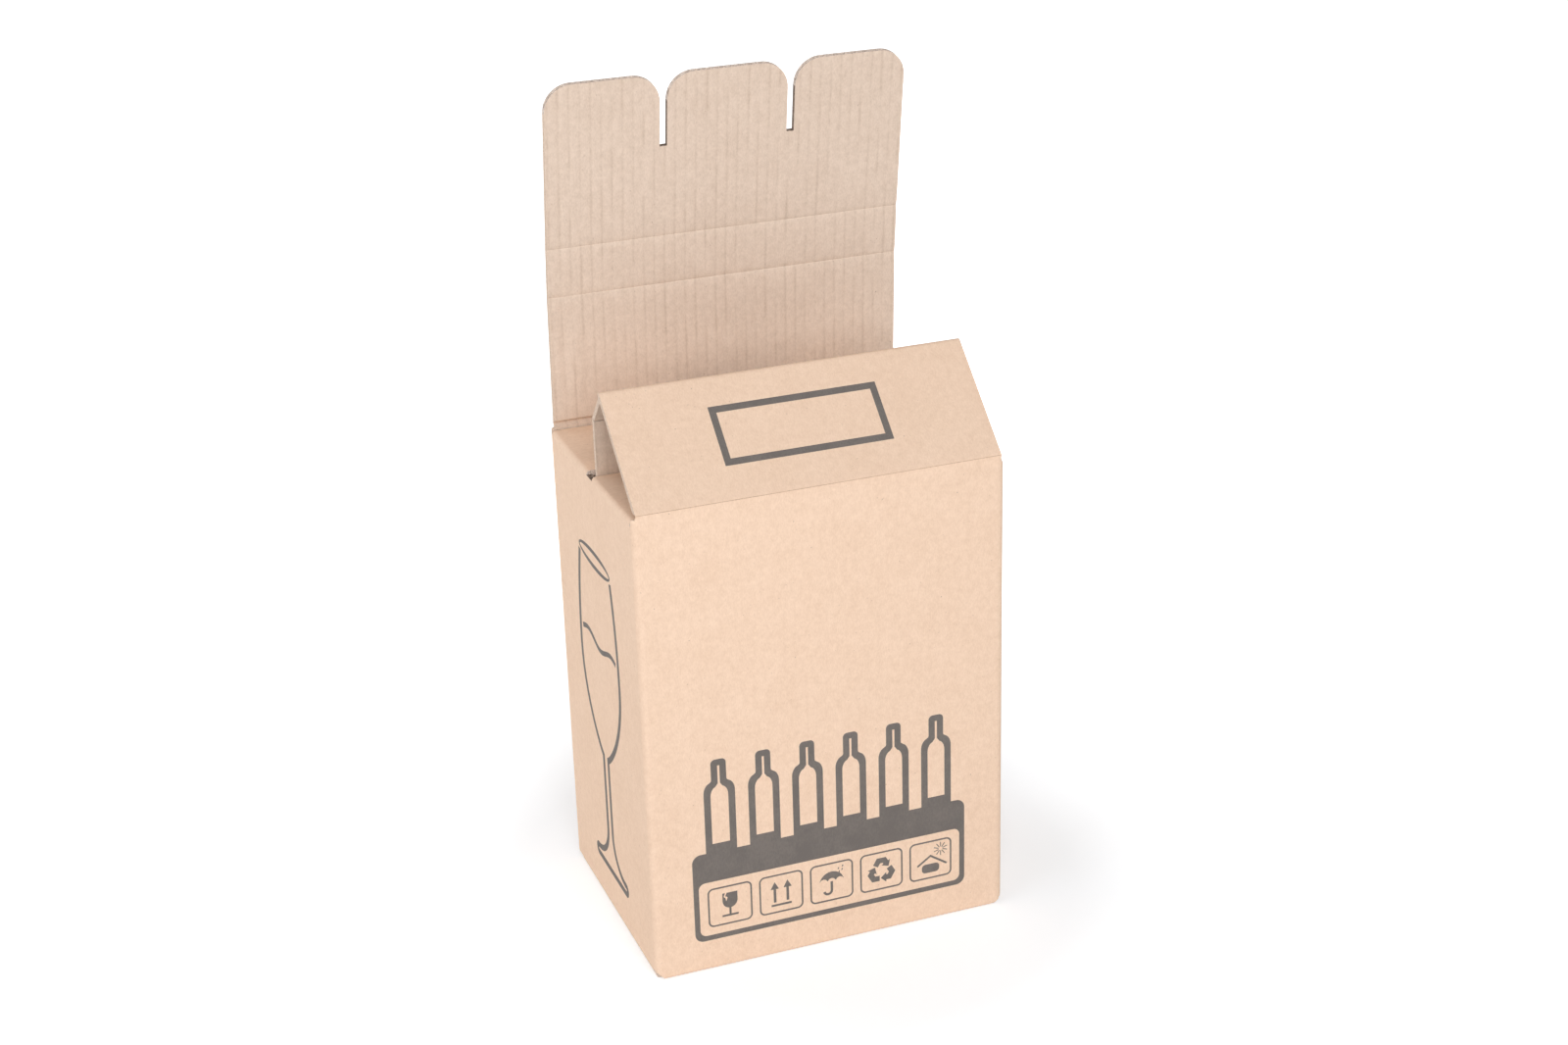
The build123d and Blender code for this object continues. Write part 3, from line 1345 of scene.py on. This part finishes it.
    def add_flaps(self, body: Piece) -> None:
        """Fuse the side flaps, the bottom flaps and the glued tab to the walls.

        Args:
            body: The walls.
        """
        thickness, inset = self.board.thickness, self.board.face_inset
        seam = self.bottom_seam / 2
        for side in Side:
            add_to(body, self.side_flap(side))
            sign = side.value
            ends = sorted((sign * seam, sign * (self.half_depth - inset)))
            wide = self.flap_half_width
            add_to(body, self.bottom_flap((-wide, ends[0], 0.0), (wide, ends[1], thickness), Axis.Y, sign))
            run = self.half_width - (self.half_depth - seam)
            ends = sorted((sign * run, sign * (self.half_width - inset)))
            long = self.side_flap_half
            add_to(
                body,
                self.bottom_flap(
                    (ends[0], -long, thickness - inset), (ends[1], long, 2 * thickness), Axis.X, sign
                ),
            )
        right, rear = self.half_width - thickness, self.half_depth - thickness
        low = (right - self.tab_width, rear - self.tab_thickness, 2 * thickness + self.tab_end_gap)
        high = (right + self.overlap, rear + self.overlap, self.corner_slot_floor - self.tab_end_gap)
        add_to(body, block("glue_tab", low, high))

    def cut_slots(self, body: Piece) -> None:
        """Cut the slots for the leaves, the slots at the corners and the seam of the glued joint.

        Args:
            body: The walls with their flaps.
        """
        reach, over = self.half_width + self.past, self.height + self.past
        half, thickness = self.slot_half, self.board.thickness
        take_from(body, block("cut", (-reach, -half, self.slot_floor), (reach, half, over)))
        inside, through = self.half_width - thickness, self.side_top - 2 * thickness
        take_from(body, block("cut", (-inside, -half, through), (inside, half, over)))
        for side in Side:
            middle = side.value * self.divider_offset
            low = (middle - thickness, -half, self.divider_slot_bottom)
            take_from(body, block("cut", low, (middle + thickness, half, over)))
        loops: list[Loop] = []
        for side, slant in zip(Side, self.corner_slants):
            near, fold, far = (side.value * x for x in (self.flap_half_width, self.half_width, reach))
            floor, end, under = self.corner_slot_floor, self.corner_slot_floor - slant, -self.past
            loops.append([(near, floor), (fold, end), (far, end), (far, over), (near, over)])
            start, rise = side.value * (self.half_width - self.foot_corner[0]), self.foot_corner[1]
            loops.append([(start, under), (start, 0.0), (fold, rise), (far, rise), (far, under)])
        deep = self.half_depth + self.past - self.side_flap_half
        for end in (-1, 1):
            middle = (0.0, end * (self.side_flap_half + deep / 2), 0.0)
            take_from(body, plate("cut", loops, deep, place_on(middle, Axis.X.unit(), Axis.Z.unit())))
        edge = self.half_width - self.fold_radius
        rear = self.half_depth - thickness
        low = (edge - self.joint_seam, rear + self.overlap, 2 * thickness)
        take_from(body, block("cut", low, (edge, self.half_depth + self.past, self.corner_slot_floor)))

    def open_flutes(self, body: Piece) -> None:
        """Open the flutes at the floors of the fold notches and at the feet of the dividers.

        Args:
            body: The body with its slots.
        """
        divider = self.divider_offset + self.board.thickness / 2
        cuts = (
            (self.slot_half, self.half_width, self.slot_floor),
            (self.side_flap_half, divider, self.divider_bottom),
        )
        for side in Side:
            inward = Vector((-side.value, 0.0, 0.0))
            for half_span, x, z in cuts:
                half = half_span - self.flute_wall
                place = place_on((side.value * x, 0.0, z), Axis.Y.unit(), inward)
                self.board.hollow(body, [(-half, half)], place, self.flute_length)

    def look(self, face: Face) -> Material:
        """Liner or cut edge that a face of the body shows.

        Args:
            face: A face of the finished solid.

        Returns:
            The material.
        """
        at, normal, slack, finishes = face.center, face.normal, self.slack, self.finishes
        level, upright = abs(normal.z), Axis.Y if abs(normal.x) > abs(normal.y) else Axis.X
        thickness, flap = self.board.thickness, self.side_flap_half
        notch = abs(at.y) < self.slot_half + slack and abs(at.x) > self.half_width - thickness - slack
        # The notches' cut walls take the darker cut edge, which is painted shade.
        if notch and at.z > self.slot_floor - self.flute_length and abs(normal.x) < 0.9:
            return finishes.painted_shade_slot_edge
        if abs(normal.y) > 0.9 and abs(at.y) < flap + slack:
            return finishes.edge
        outside = abs(at.x) > self.half_width - self.wall_skin or abs(at.y) > self.half_depth - self.wall_skin
        if outside and normal.x * at.x + normal.y * at.y > 0 and level < 0.95:
            return finishes.outer[upright]
        lid = self.side_top - self.fold_skin < at.z < self.side_top + self.overlap and abs(at.y) <= flap
        near = abs(abs(at.x) - self.divider_offset + thickness / 2) < slack and at.z > self.divider_bottom
        if (lid and normal.z > 0.05) or (near and abs(normal.x) > 0.9):
            return finishes.outer[Axis.Y]
        if at.z < self.fold_skin and normal.z < -0.05:
            return finishes.outer[Axis.X]
        floors = (self.slot_floor, self.divider_bottom, self.divider_slot_bottom)
        if level > 0.9 and min(abs(at.z - floor) for floor in floors) < slack:
            return finishes.edge
        return finishes.inner[upright]

    def build(self) -> Piece:
        """Return the dressed body in its place."""
        body = self.walls()
        self.trim_walls(body)
        self.add_flaps(body)
        self.cut_slots(body)
        self.open_flutes(body)
        weld(body, outward=False)
        dress_faces(body, self.look)
        smooth(body)
        settle(body, "box", "box_body")
        return body


@dataclass
class CreaseLiners:
    """Liners that run on over the creases, bent to fit the flaps where they stand."""

    board: Board
    finishes: Finishes
    body: BoxBody
    rear: RearFlap
    front: FrontFlap
    front_leaf: FrontLeaf
    reach: float = 0.0046
    run: float = 0.0025
    bend: float = 0.0009
    bend_steps: tuple[float, ...] = (0.2, 0.4, 0.5, 0.6, 0.8)
    groove: float = 0.0003
    end_gap: float = 0.0001
    line_reach: float = 0.00025
    thickness: float = 0.00002
    sharp: float = 60.0
    valley_wall: tuple[Point, ...] = ((-4.03, -4.2), (-4.03, -2.38), (-2.0, -1.26), (-0.8, -0.4))
    valley_flap: tuple[Point, ...] = ((0.84, 1.2), (2.3, 4.03), (4.5, 4.03))

    def path(self, corner: Point, first: float, second: float, lift: float, groove: float = 0.0) -> Loop:
        """Path of a liner over a crease, in Y and Z.

        Args:
            corner: The crease.
            first: Direction from the crease back along the first board, in degrees from Y.
            second: Direction from the crease along the second board.
            lift: How far the path lies to the left of its course.
            groove: How far it is pressed in at the crease.

        Returns:
            Points of the path.
        """
        middle, back, ahead = Vector(corner), heading(first), heading(second)
        runs = (self.reach, self.run, self.bend)
        start = [middle + back * run - left_of(back) * lift for run in runs]
        end = [middle + ahead * run + left_of(ahead) * lift for run in reversed(runs)]
        outward = (left_of(ahead) - left_of(back)).normalized()
        control = middle + outward * lift
        bent = [
            start[-1] * (1 - t) ** 2 + control * 2 * t * (1 - t) + end[0] * t * t for t in self.bend_steps
        ]
        bent[len(bent) // 2] -= outward * groove
        return [(p.x, p.y) for p in start + bent + end]

    def band(
        self,
        name: str,
        path: Loop,
        half_spans: Point,
        bodies: tuple[str, str],
        material: Material,
    ) -> Piece:
        """One liner over a crease.

        Args:
            name: Name of the piece.
            path: Its path in Y and Z.
            half_spans: Half its width on the first board and from the crease on.
            bodies: The bodies on either side of its crease, which are only named in the log.
            material: Its paper.

        Returns:
            The finished piece.
        """
        piece = ribbon(name, path, half_spans[0])
        for vertex in piece.data.vertices:
            if min((vertex.co.yz - Vector(point)).length for point in path[:2]) > NEAR:
                vertex.co.x = math.copysign(half_spans[1], vertex.co.x)
        thicken(piece, self.thickness)
        weld(piece)
        crease = Vector(path[len(path) // 2])

        def look(face: Face) -> Material:
            """Return the paper, or the darker line at the crease: crushed fibres with painted shade of its
            groove.
            """
            pressed = (face.center.yz - crease).length < self.line_reach
            return self.finishes.crushed_and_shaded_crease if pressed else material

        dress_faces(piece, look)
        smooth(piece, self.sharp)
        first, last = path[2], path[-3]
        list(first)
        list(last)
        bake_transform(piece)
        LOG.info("%s bends between %s and %s", name, *bodies)
        return piece

    def build(self) -> None:
        """Build the liners over the front crease, the rear crease and the leaf's score."""
        outer, inner = self.finishes.outer[Axis.X], self.finishes.inner[Axis.X]
        lift = self.band_height()
        straight = self.body.half_width - self.body.fold_radius
        wide = self.body.flap_half_width - self.end_gap
        path = self.path(self.front.crease, -90.0, self.front.angle(), lift, self.groove)
        self.band("front_crease_liner", path, (straight, wide), ("box", "front_flap"), outer)
        path = self.path(self.rear.crease, -90.0, 90.0 + self.rear.panel_lean, -lift)
        self.band("rear_crease_liner", path, (straight, wide), ("box", "back_flap"), outer)
        turned = self.front.angle() - 90.0
        path = self.path(self.front_leaf.hinge, turned + 180.0, -90.0, lift)
        strip = self.front.strip_half_width
        self.band("leaf_score_liner", path, (strip, strip), ("front_flap", "front_leaf"), outer)
        self.band("rear_crease_inner_liner", self.valley(), (wide, wide), ("box", "back_flap"), inner)

    def valley(self) -> Loop:
        """Return the path of the inner liner, pressed down into the rear crease, from its millimetres."""
        up = heading(90.0 + self.rear.panel_lean)
        wall = [Vector(step) for step in self.valley_wall]
        flap = [up * along + left_of(up) * depth for along, depth in self.valley_flap]
        y, z = self.rear.crease
        return [(y + step.x * MM, z + step.y * MM) for step in wall + flap]

    def band_height(self) -> float:
        """Return the lift of a liner over its crease: above the board's face and inside the model's box."""
        return self.board.band_lift - self.board.face_inset


# Print


def stroke(path: Loop, width: float, least: float = 0.4) -> Loop:
    """Outline of a line drawn along an open path.

    Args:
        path: Points of the path.
        width: Width of the line.
        least: Lowest cosine that widens a bend, so that a sharp one grows no spike.

    Returns:
        The closed outline.
    """
    left: Loop = []
    right: Loop = []
    for i, (x, y) in enumerate(path):
        before, after = Vector(path[max(i - 1, 0)]), Vector(path[min(i + 1, len(path) - 1)])
        here = Vector((x, y))
        ways = [way.normalized() for way in (here - before, after - here) if way.length > TOUCH]
        way = sum(ways, Vector((0.0, 0.0))).normalized()
        reach = width / 2 / max(way.dot(ways[0]), least)
        left.append((x - way.y * reach, y + way.x * reach))
        right.append((x + way.y * reach, y - way.x * reach))
    return left + right[::-1]


def moved(loop: Loop, x: float, y: float) -> Loop:
    """Return a loop moved across and up."""
    return [(px + x, py + y) for px, py in loop]


def mirrored(half: Loop) -> Loop:
    """Return the right half of an outline, followed by its mirror image."""
    return half + [(-x, y) for x, y in reversed(half)]


@dataclass
class CratePrint:
    """Print on the front wall, in millimetres: six bottles on a crate with five handling marks."""

    finishes: Finishes
    place: Matrix
    thickness: float = INK_DEPTH
    middle: float = -0.4
    bottle_count: int = 6
    bottle_pitch: float = 30.38
    bottle_top: float = 154.6
    crown_radius: float = 3.0
    neck_half: float = 5.2
    throat: float = 140.2
    throat_radius: float = 1.8
    shoulder_foot: float = 130.6
    shoulder: Point = (5.2, 7.8)
    body_half: float = 10.7
    inner_shoulder_foot: float = 128.1
    inner_shoulder: Point = (4.5, 7.0)
    shoulder_end: float = 78.0
    inner_half: float = 6.05
    slit_half: float = 0.75
    slit_foot: float = 137.4
    slit_top: float = 150.1
    bottle_base: float = 93.8
    crate_half: float = 96.5
    crate_foot: float = 22.6
    band_foot: float = 66.0
    band_top: float = 87.6
    crate_radius: float = 6.0
    frame_line: float = 3.7
    window_radius: float = 4.5
    square: Point = (30.8, 29.0)
    square_pitch: float = 35.8
    square_foot: float = 31.9
    square_radius: float = 4.0
    thin_line: float = 1.15
    loop_size: float = 1.1

    def bottle_outside(self, middle: float) -> Loop:
        """Outline of a bottle above the crate, from right to left.

        Args:
            middle: Place of the bottle across the print.

        Returns:
            The open outline.
        """
        half, neck, crown = self.body_half, self.neck_half, self.crown_radius
        reach, rise = self.shoulder
        right = [(half, self.band_top)]
        right += arc((half - reach, self.shoulder_foot), reach, 0, self.shoulder_end, rise=rise)
        right += arc((neck + self.throat_radius, self.throat), self.throat_radius, 255, 180, 5)
        right += arc((neck - crown, self.bottle_top - crown), crown, 0, 90, 6)
        return moved(mirrored(right), middle, 0.0)

    def bottle_inside(self, middle: float) -> Loop:
        """Outline of a bottle's bare inside, with the slit in its neck.

        Args:
            middle: Place of the bottle across the print.

        Returns:
            The closed outline.
        """
        half, slit = self.inner_half, self.slit_half
        reach, rise = self.inner_shoulder
        bow = arc((half - reach, self.inner_shoulder_foot), reach, 0, self.shoulder_end, rise=rise)
        right = [(half, self.bottle_base)] + bow + [(slit, self.slit_foot), (slit, self.slit_top)]
        return moved(mirrored(right), middle, 0.0)

    def crate(self) -> list[Loop]:
        """Return the outlines of the crate with its bottles."""
        last = self.bottle_count - 1
        middles = [(i - last / 2) * self.bottle_pitch for i in range(self.bottle_count)]
        half, radius = self.crate_half, self.crate_radius
        outside = arc((half - radius, self.crate_foot + radius), radius, -90, 0)
        outside += arc((half - radius, self.band_top - radius), radius, 0, 90)
        for middle in reversed(middles):
            outside += self.bottle_outside(middle)
        outside += arc((radius - half, self.band_top - radius), radius, 90, 180)
        outside += arc((radius - half, self.crate_foot + radius), radius, 180, 270)
        line = self.frame_line
        low, high = (line - half, self.crate_foot + line), (half - line, self.band_foot)
        window = rounded_box(low, high, self.window_radius)
        return [outside, window] + [self.bottle_inside(middle) for middle in middles]

    def glass_mark(self) -> list[Loop]:
        """Return a stemmed glass with a crack in its bowl."""
        glass = [(-5.2, 23.6), (-5.2, 17.8)] + arc((0.0, 17.8), 5.2, 180, 262, rise=5.6)
        glass += [(-0.7, 7.4), (-5.6, 7.4), (-5.6, 6.0), (5.6, 6.0), (5.6, 7.4), (0.7, 7.4)]
        glass += arc((0.0, 17.8), 5.2, 278, 360, rise=5.6) + [(5.2, 23.6)]
        crack = [(-2.2, 23.6), (-3.1, 21.4), (-1.6, 20.2), (-2.6, 17.2)]
        crack += [(-3.2, 19.8), (-4.4, 20.9), (-3.4, 23.6)]
        return [glass + crack]

    def arrows_mark(self) -> list[Loop]:
        """Return two arrows that point up from a bar."""
        arrow = [(-0.9, 8.2), (0.9, 8.2), (0.9, 18.2), (2.9, 18.2), (0.0, 23.6), (-2.9, 18.2), (-0.9, 18.2)]
        bar = [(-7.1, 5.2), (7.1, 5.2), (7.1, 6.7), (-7.1, 6.7)]
        return [moved(arrow, -4.5, 0.0), moved(arrow, 4.5, 0.0), bar]

    def umbrella_mark(self) -> list[Loop]:
        """Return an umbrella under drops."""
        canopy = arc((0.0, 13.4), 8.8, 8, 172, 14)
        for middle in (-5.8, 0.0, 5.8):
            canopy += arc((middle, 14.4), 2.9, 160, 20, 4)
        handle = stroke([(0.0, 14.8), (0.0, 8.2)] + arc((-2.7, 8.2), 2.7, 0, -170, 8), 1.7)
        tips = ((5.2, 24.2), (8.2, 25.6), (7.8, 23.0), (5.8, 21.8))
        drops = [stroke([(x, y), (x - 0.5, y - 1.3)], 0.8) for x, y in tips]
        return [canopy, handle] + drops

    def loop_mark(self) -> list[Loop]:
        """Return three bent arrows that chase each other round a triangle."""
        path = [(-3.85, 3.62), (-1.9, 7.0), (1.9, 7.0), (2.9, 5.27)]
        band = stroke(path, 3.6)
        head = [(5.76, 6.92), (4.7, 2.15), (0.04, 3.62)]
        arrow = band[:len(path)] + head + band[len(path):]
        arrows = []
        for third in range(3):
            angle = math.radians(120 * third)
            cosine, sine = self.loop_size * math.cos(angle), self.loop_size * math.sin(angle)
            turned = [(x * cosine - y * sine, x * sine + y * cosine) for x, y in arrow]
            arrows.append(moved(turned, 0.0, self.square[1] / 2))
        return arrows

    def shade_mark(self) -> list[Loop]:
        """Return a block under a roof, with the sun above."""
        roof = stroke([(-9.6, 10.9), (0.0, 17.4), (11.8, 9.4)], 1.4)
        load = rounded_box((-6.3, 4.7), (6.3, 11.3), 2.6)
        starts, ends = (arc((7.4, 21.4), radius, 18, 342, 9) for radius in (1.5, 5.0))
        rays = [stroke([start, end], 0.6) for start, end in zip(starts, ends)]
        return [roof, load] + rays

    def squares(self) -> list[Loop]:
        """Return the five squares with their handling marks."""
        drawings = (self.glass_mark, self.arrows_mark, self.umbrella_mark, self.loop_mark, self.shade_mark)
        half, tall = self.square[0] / 2, self.square[1]
        rings = [
            rounded_box((step - half, step), (half - step, tall - step), self.square_radius - step)
            for step in (0.0, self.thin_line)
        ]
        loops: list[Loop] = []
        for i, drawing in enumerate(drawings):
            middle = (i - (len(drawings) - 1) / 2) * self.square_pitch
            loops += [moved(loop, middle, self.square_foot) for loop in rings + drawing()]
        return loops

    def build(self) -> Piece:
        """Return the dressed print on its wall."""
        place = self.place @ Matrix.Translation((self.middle, 0.0, 0.0))
        crate = plate("crate_print", self.crate(), self.thickness, place)
        squares = plate("handling_marks", self.squares(), self.thickness, place)
        piece = join("front_print", (crate, squares))
        dress(piece, self.finishes.ink)
        settle(piece, "box")
        return piece


@dataclass
class GobletPrint:
    """Large line drawing of a plain goblet on the left wall, in millimetres."""

    finishes: Finishes
    place: Matrix
    thickness: float = INK_DEPTH
    line: float = 4.4
    foot: float = 34.0
    foot_half: float = 34.0
    foot_edge: float = 3.0
    foot_rise: float = 26.0
    stem_half: float = 5.0
    stem_top: float = 122.0
    bowl_half: float = 42.0
    bowl_flare: float = 1.7
    bowl_widest: float = 190.0
    rim_half: float = 33.0
    rim: float = 262.0
    rim_lift: float = 3.9
    rim_rise: float = 6.5
    rim_line: float = 3.08
    rim_over: float = 1.03
    rim_under: float = 0.96
    rim_steps: int = 48
    level: float = 205.0
    level_half: float = 36.0
    level_line: float = 3.52
    level_steps: int = 20
    ripple: float = 3.0
    ripple_turn: float = 0.45
    curve_steps: int = 12
    wall_steps: int = 8

    def side(self) -> Loop:
        """Return one side of the goblet, from the foot to the rim."""
        reach, top = self.foot_half - self.foot_edge, self.foot + 2 * self.foot_edge
        points: Loop = [(0.0, self.foot)] + arc((reach, self.foot + self.foot_edge), self.foot_edge, -90, 90)
        angles = [math.pi / 2 * step / self.curve_steps for step in range(1, self.curve_steps + 1)]
        quarter = [(math.sin(angle), math.cos(angle)) for angle in angles]
        stem, widest, narrower = self.stem_half, self.bowl_widest, reach - self.stem_half
        points += [(reach - narrower * sine, top + self.foot_rise * (1 - cosine)) for sine, cosine in quarter]
        points.append((stem, self.stem_top))
        wider, rise = self.bowl_half - stem, widest - self.stem_top
        points += [(stem + wider * sine**self.bowl_flare, widest - rise * cosine) for sine, cosine in quarter]
        narrower, rise = self.bowl_half - self.rim_half, self.rim - widest
        shares = [step / self.wall_steps for step in range(1, self.wall_steps + 1)]
        return points + [(self.bowl_half - narrower * s * s, widest + rise * s) for s in shares]

    def ripples(self) -> Loop:
        """Return the rippled top of what the goblet holds, from left to right."""
        steps = range(self.level_steps + 1)
        places = [self.level_half * (2 * i / self.level_steps - 1) for i in steps]
        return [(x, self.level + self.ripple * math.sin(self.ripple_turn * i)) for i, x in zip(steps, places)]

    def rim_loops(self) -> list[Loop]:
        """Return the outer and the inner outline of the rim."""
        middle, inner_rise = (0.0, self.rim + self.rim_lift), self.rim_rise - self.rim_line
        sizes = ((self.rim_over, self.rim_rise), (self.rim_under, inner_rise))
        return [arc(middle, self.rim_half * wide, 0, 360, self.rim_steps, rise)[:-1] for wide, rise in sizes]

    def build(self) -> Piece:
        """Return the dressed drawing on its wall."""
        side = self.side()
        around = [(-x, y) for x, y in reversed(side[1:])] + side
        drawings = {
            "goblet_outline": [stroke(around, self.line)],
            "goblet_rim": self.rim_loops(),
            "goblet_level": [stroke(self.ripples(), self.level_line)],
        }
        pieces = [plate(name, loops, self.thickness, self.place) for name, loops in drawings.items()]
        piece = join("side_print", pieces)
        dress(piece, self.finishes.ink)
        settle(piece, "box")
        return piece


@dataclass
class PanelFrame:
    """Bare frame printed on the front flap's panel, in millimetres."""

    finishes: Finishes
    place: Matrix
    middle: float = -0.8
    half_width: float = 56.5
    foot: float = 23.7
    top: float = 65.8
    line: float = 4.6
    thickness: float = INK_DEPTH

    def build(self) -> Piece:
        """Return the dressed frame on its panel."""
        loops: list[Loop] = []
        for step in (0.0, self.line):
            left, right = self.middle - self.half_width + step, self.middle + self.half_width - step
            foot, top = self.foot + step, self.top - step
            loops.append([(left, foot), (right, foot), (right, top), (left, top)])
        piece = plate("panel_frame_print", loops, self.thickness, self.place)
        dress(piece, self.finishes.ink)
        settle(piece, "front_flap")
        return piece


# Studio


def in_view(tree: bpy.types.NodeTree) -> Socket:
    """Add nodes that tell what is seen from what only lights the scene.

    Args:
        tree: The node tree of a material or of the world.

    Returns:
        The socket that is one where a ray is seen.
    """
    path = tree.nodes.new("ShaderNodeLightPath")
    either = tree.nodes.new("ShaderNodeMath")
    either.operation = "MAXIMUM"
    for ray, socket in zip(("Is Camera Ray", "Is Glossy Ray"), either.inputs):
        tree.links.new(path.outputs[ray], socket)
    return either.outputs[0]


@dataclass(frozen=True)
class Lamp:
    """Soft square lamp that points at the box."""

    name: str
    place: Point3
    size: float
    power: float
    aim: Point3 = (0.0, 0.0, 0.25)

    def hang(self) -> None:
        """Hang the lamp in the scene."""
        data = bpy.data.lights.new(self.name, "AREA")
        data.size = self.size
        data.energy = self.power
        lamp = bpy.data.objects.new(self.name, data)
        bpy.context.scene.collection.objects.link(lamp)
        lamp.location = self.place
        way = Vector(self.aim) - Vector(self.place)
        lamp.rotation_euler = way.to_track_quat("-Z", "Y").to_euler()


@dataclass
class Studio:
    """White floor, soft light and the camera."""

    floor_size: float = 12.0
    floor_drop: float = 0.0002
    floor_colour: Colour = (0.9, 0.9, 0.9, 1.0)
    floor_shown: Colour = (0.93, 0.95, 0.98, 1.0)
    floor_glow: float = 0.32
    floor_fade: Point = (0.2, 0.5)
    camera_place: Point3 = (-0.5272, -1.4475, 0.9156)
    camera_heading: float = 20.24
    camera_fall: float = 22.73
    camera_roll: float = -1.694
    lens: float = 58.06
    sensor: float = 36.0
    world_light: float = 0.2
    lamps: tuple[Lamp, ...] = (
        Lamp("key_lamp", place=(-0.2, -3.5, 2.3), size=3.0, power=110.0),
        Lamp("side_lamp", place=(-2.2, -0.8, 1.1), size=1.6, power=14.0),
        Lamp("left_back_lamp", place=(-1.5, 1.8, 0.9), size=1.8, power=21.0),
        Lamp("right_back_lamp", place=(1.6, 1.7, 0.8), size=1.8, power=7.0),
    )

    def floor(self) -> None:
        """Lay the floor, which looks white and keeps the box's soft shadow."""
        deselect_all()
        bpy.ops.mesh.primitive_plane_add(size=self.floor_size, location=(0.0, 0.0, -self.floor_drop))
        floor = bpy.context.view_layer.objects.active
        floor.name = "studio_floor"
        bpy.ops.object.transform_apply(location=True, rotation=True, scale=True)
        material = bpy.data.materials.new("studio_floor")
        material.use_nodes = True
        nodes, links = material.node_tree.nodes, material.node_tree.links
        nodes.clear()
        matt = nodes.new("ShaderNodeBsdfDiffuse")
        matt.inputs["Color"].default_value = self.floor_colour
        shown = nodes.new("ShaderNodeBsdfDiffuse")
        shown.inputs["Color"].default_value = self.floor_shown
        away = nodes.new("ShaderNodeVectorMath")
        away.operation = "LENGTH"
        links.new(nodes.new("ShaderNodeTexCoord").outputs["Object"], away.inputs[0])
        rise = nodes.new("ShaderNodeMapRange")
        for name, number in zip(("From Min", "From Max", "To Min"), (*self.floor_fade, self.floor_glow)):
            rise.inputs[name].default_value = number
        links.new(away.outputs["Value"], rise.inputs["Value"])
        glow = nodes.new("ShaderNodeEmission")
        links.new(rise.outputs["Result"], glow.inputs["Strength"])
        white = nodes.new("ShaderNodeAddShader")
        links.new(shown.outputs[0], white.inputs[0])
        links.new(glow.outputs[0], white.inputs[1])
        blend = nodes.new("ShaderNodeMixShader")
        output = nodes.new("ShaderNodeOutputMaterial")
        links.new(in_view(material.node_tree), blend.inputs[0])
        links.new(matt.outputs[0], blend.inputs[1])
        links.new(white.outputs[0], blend.inputs[2])
        links.new(blend.outputs[0], output.inputs["Surface"])
        dress(floor, material)

    def world(self) -> None:
        """Surround the scene with soft light that looks white to the camera."""
        world = bpy.data.worlds.new("studio_world")
        bpy.context.scene.world = world
        world.use_nodes = True
        nodes, links = world.node_tree.nodes, world.node_tree.links
        back = nodes["Background"]
        strength = nodes.new("ShaderNodeMapRange")
        strength.inputs["To Min"].default_value = self.world_light
        links.new(in_view(world.node_tree), strength.inputs["Value"])
        links.new(strength.outputs["Result"], back.inputs["Strength"])
        back.inputs["Color"].default_value = (1.0, 1.0, 1.0, 1.0)

    def camera(self) -> None:
        """Set the camera at the photograph's viewing angle."""
        data = bpy.data.cameras.new("studio_camera")
        data.lens = self.lens
        data.sensor_width = self.sensor
        data.sensor_fit = "HORIZONTAL"
        camera = bpy.data.objects.new("studio_camera", data)
        bpy.context.scene.collection.objects.link(camera)
        aside, fall = math.radians(self.camera_heading), math.radians(self.camera_fall)
        level = math.cos(fall)
        forward = Vector((math.sin(aside) * level, math.cos(aside) * level, -math.sin(fall)))
        camera.location = self.camera_place
        camera.rotation_mode = "QUATERNION"
        roll = Quaternion((0.0, 0.0, 1.0), math.radians(self.camera_roll))
        camera.rotation_quaternion = forward.to_track_quat("-Z", "Y") @ roll
        bpy.context.scene.camera = camera

    def build(self) -> None:
        """Build the floor, the world, the lamps and the camera."""
        self.floor()
        self.world()
        for lamp in self.lamps:
            lamp.hang()
        self.camera()
        bpy.context.scene.view_settings.view_transform = "Standard"
        LOG.info("studio is lit")


def main() -> None:
    """Build the box, its print and the studio."""
    logging.basicConfig(level=logging.INFO, format="%(name)s: %(message)s")
    board = Board()
    finishes = Finishes(board.flute_pitch)
    finishes.make()
    body = BoxBody(board, finishes)
    rear = RearFlap(board, finishes)
    front = FrontFlap(board, finishes)
    front_leaf = FrontLeaf(board, finishes)
    for part in (body, rear, front, front_leaf):
        part.build()
    CreaseLiners(board, finishes, body, rear, front, front_leaf).build()
    front_face = (0.0, board.face_inset - body.half_depth, 0.0)
    CratePrint(finishes, place_on(front_face, Axis.X.unit(), Axis.Z.unit(), MM)).build()
    left_face = (board.face_inset - body.half_width, 0.0, 0.0)
    GobletPrint(finishes, place_on(left_face, -Axis.Y.unit(), Axis.Z.unit(), MM)).build()
    PanelFrame(finishes, front.panel_plane()).build()
    Studio().build()


if __name__ == "__main__":
    main()
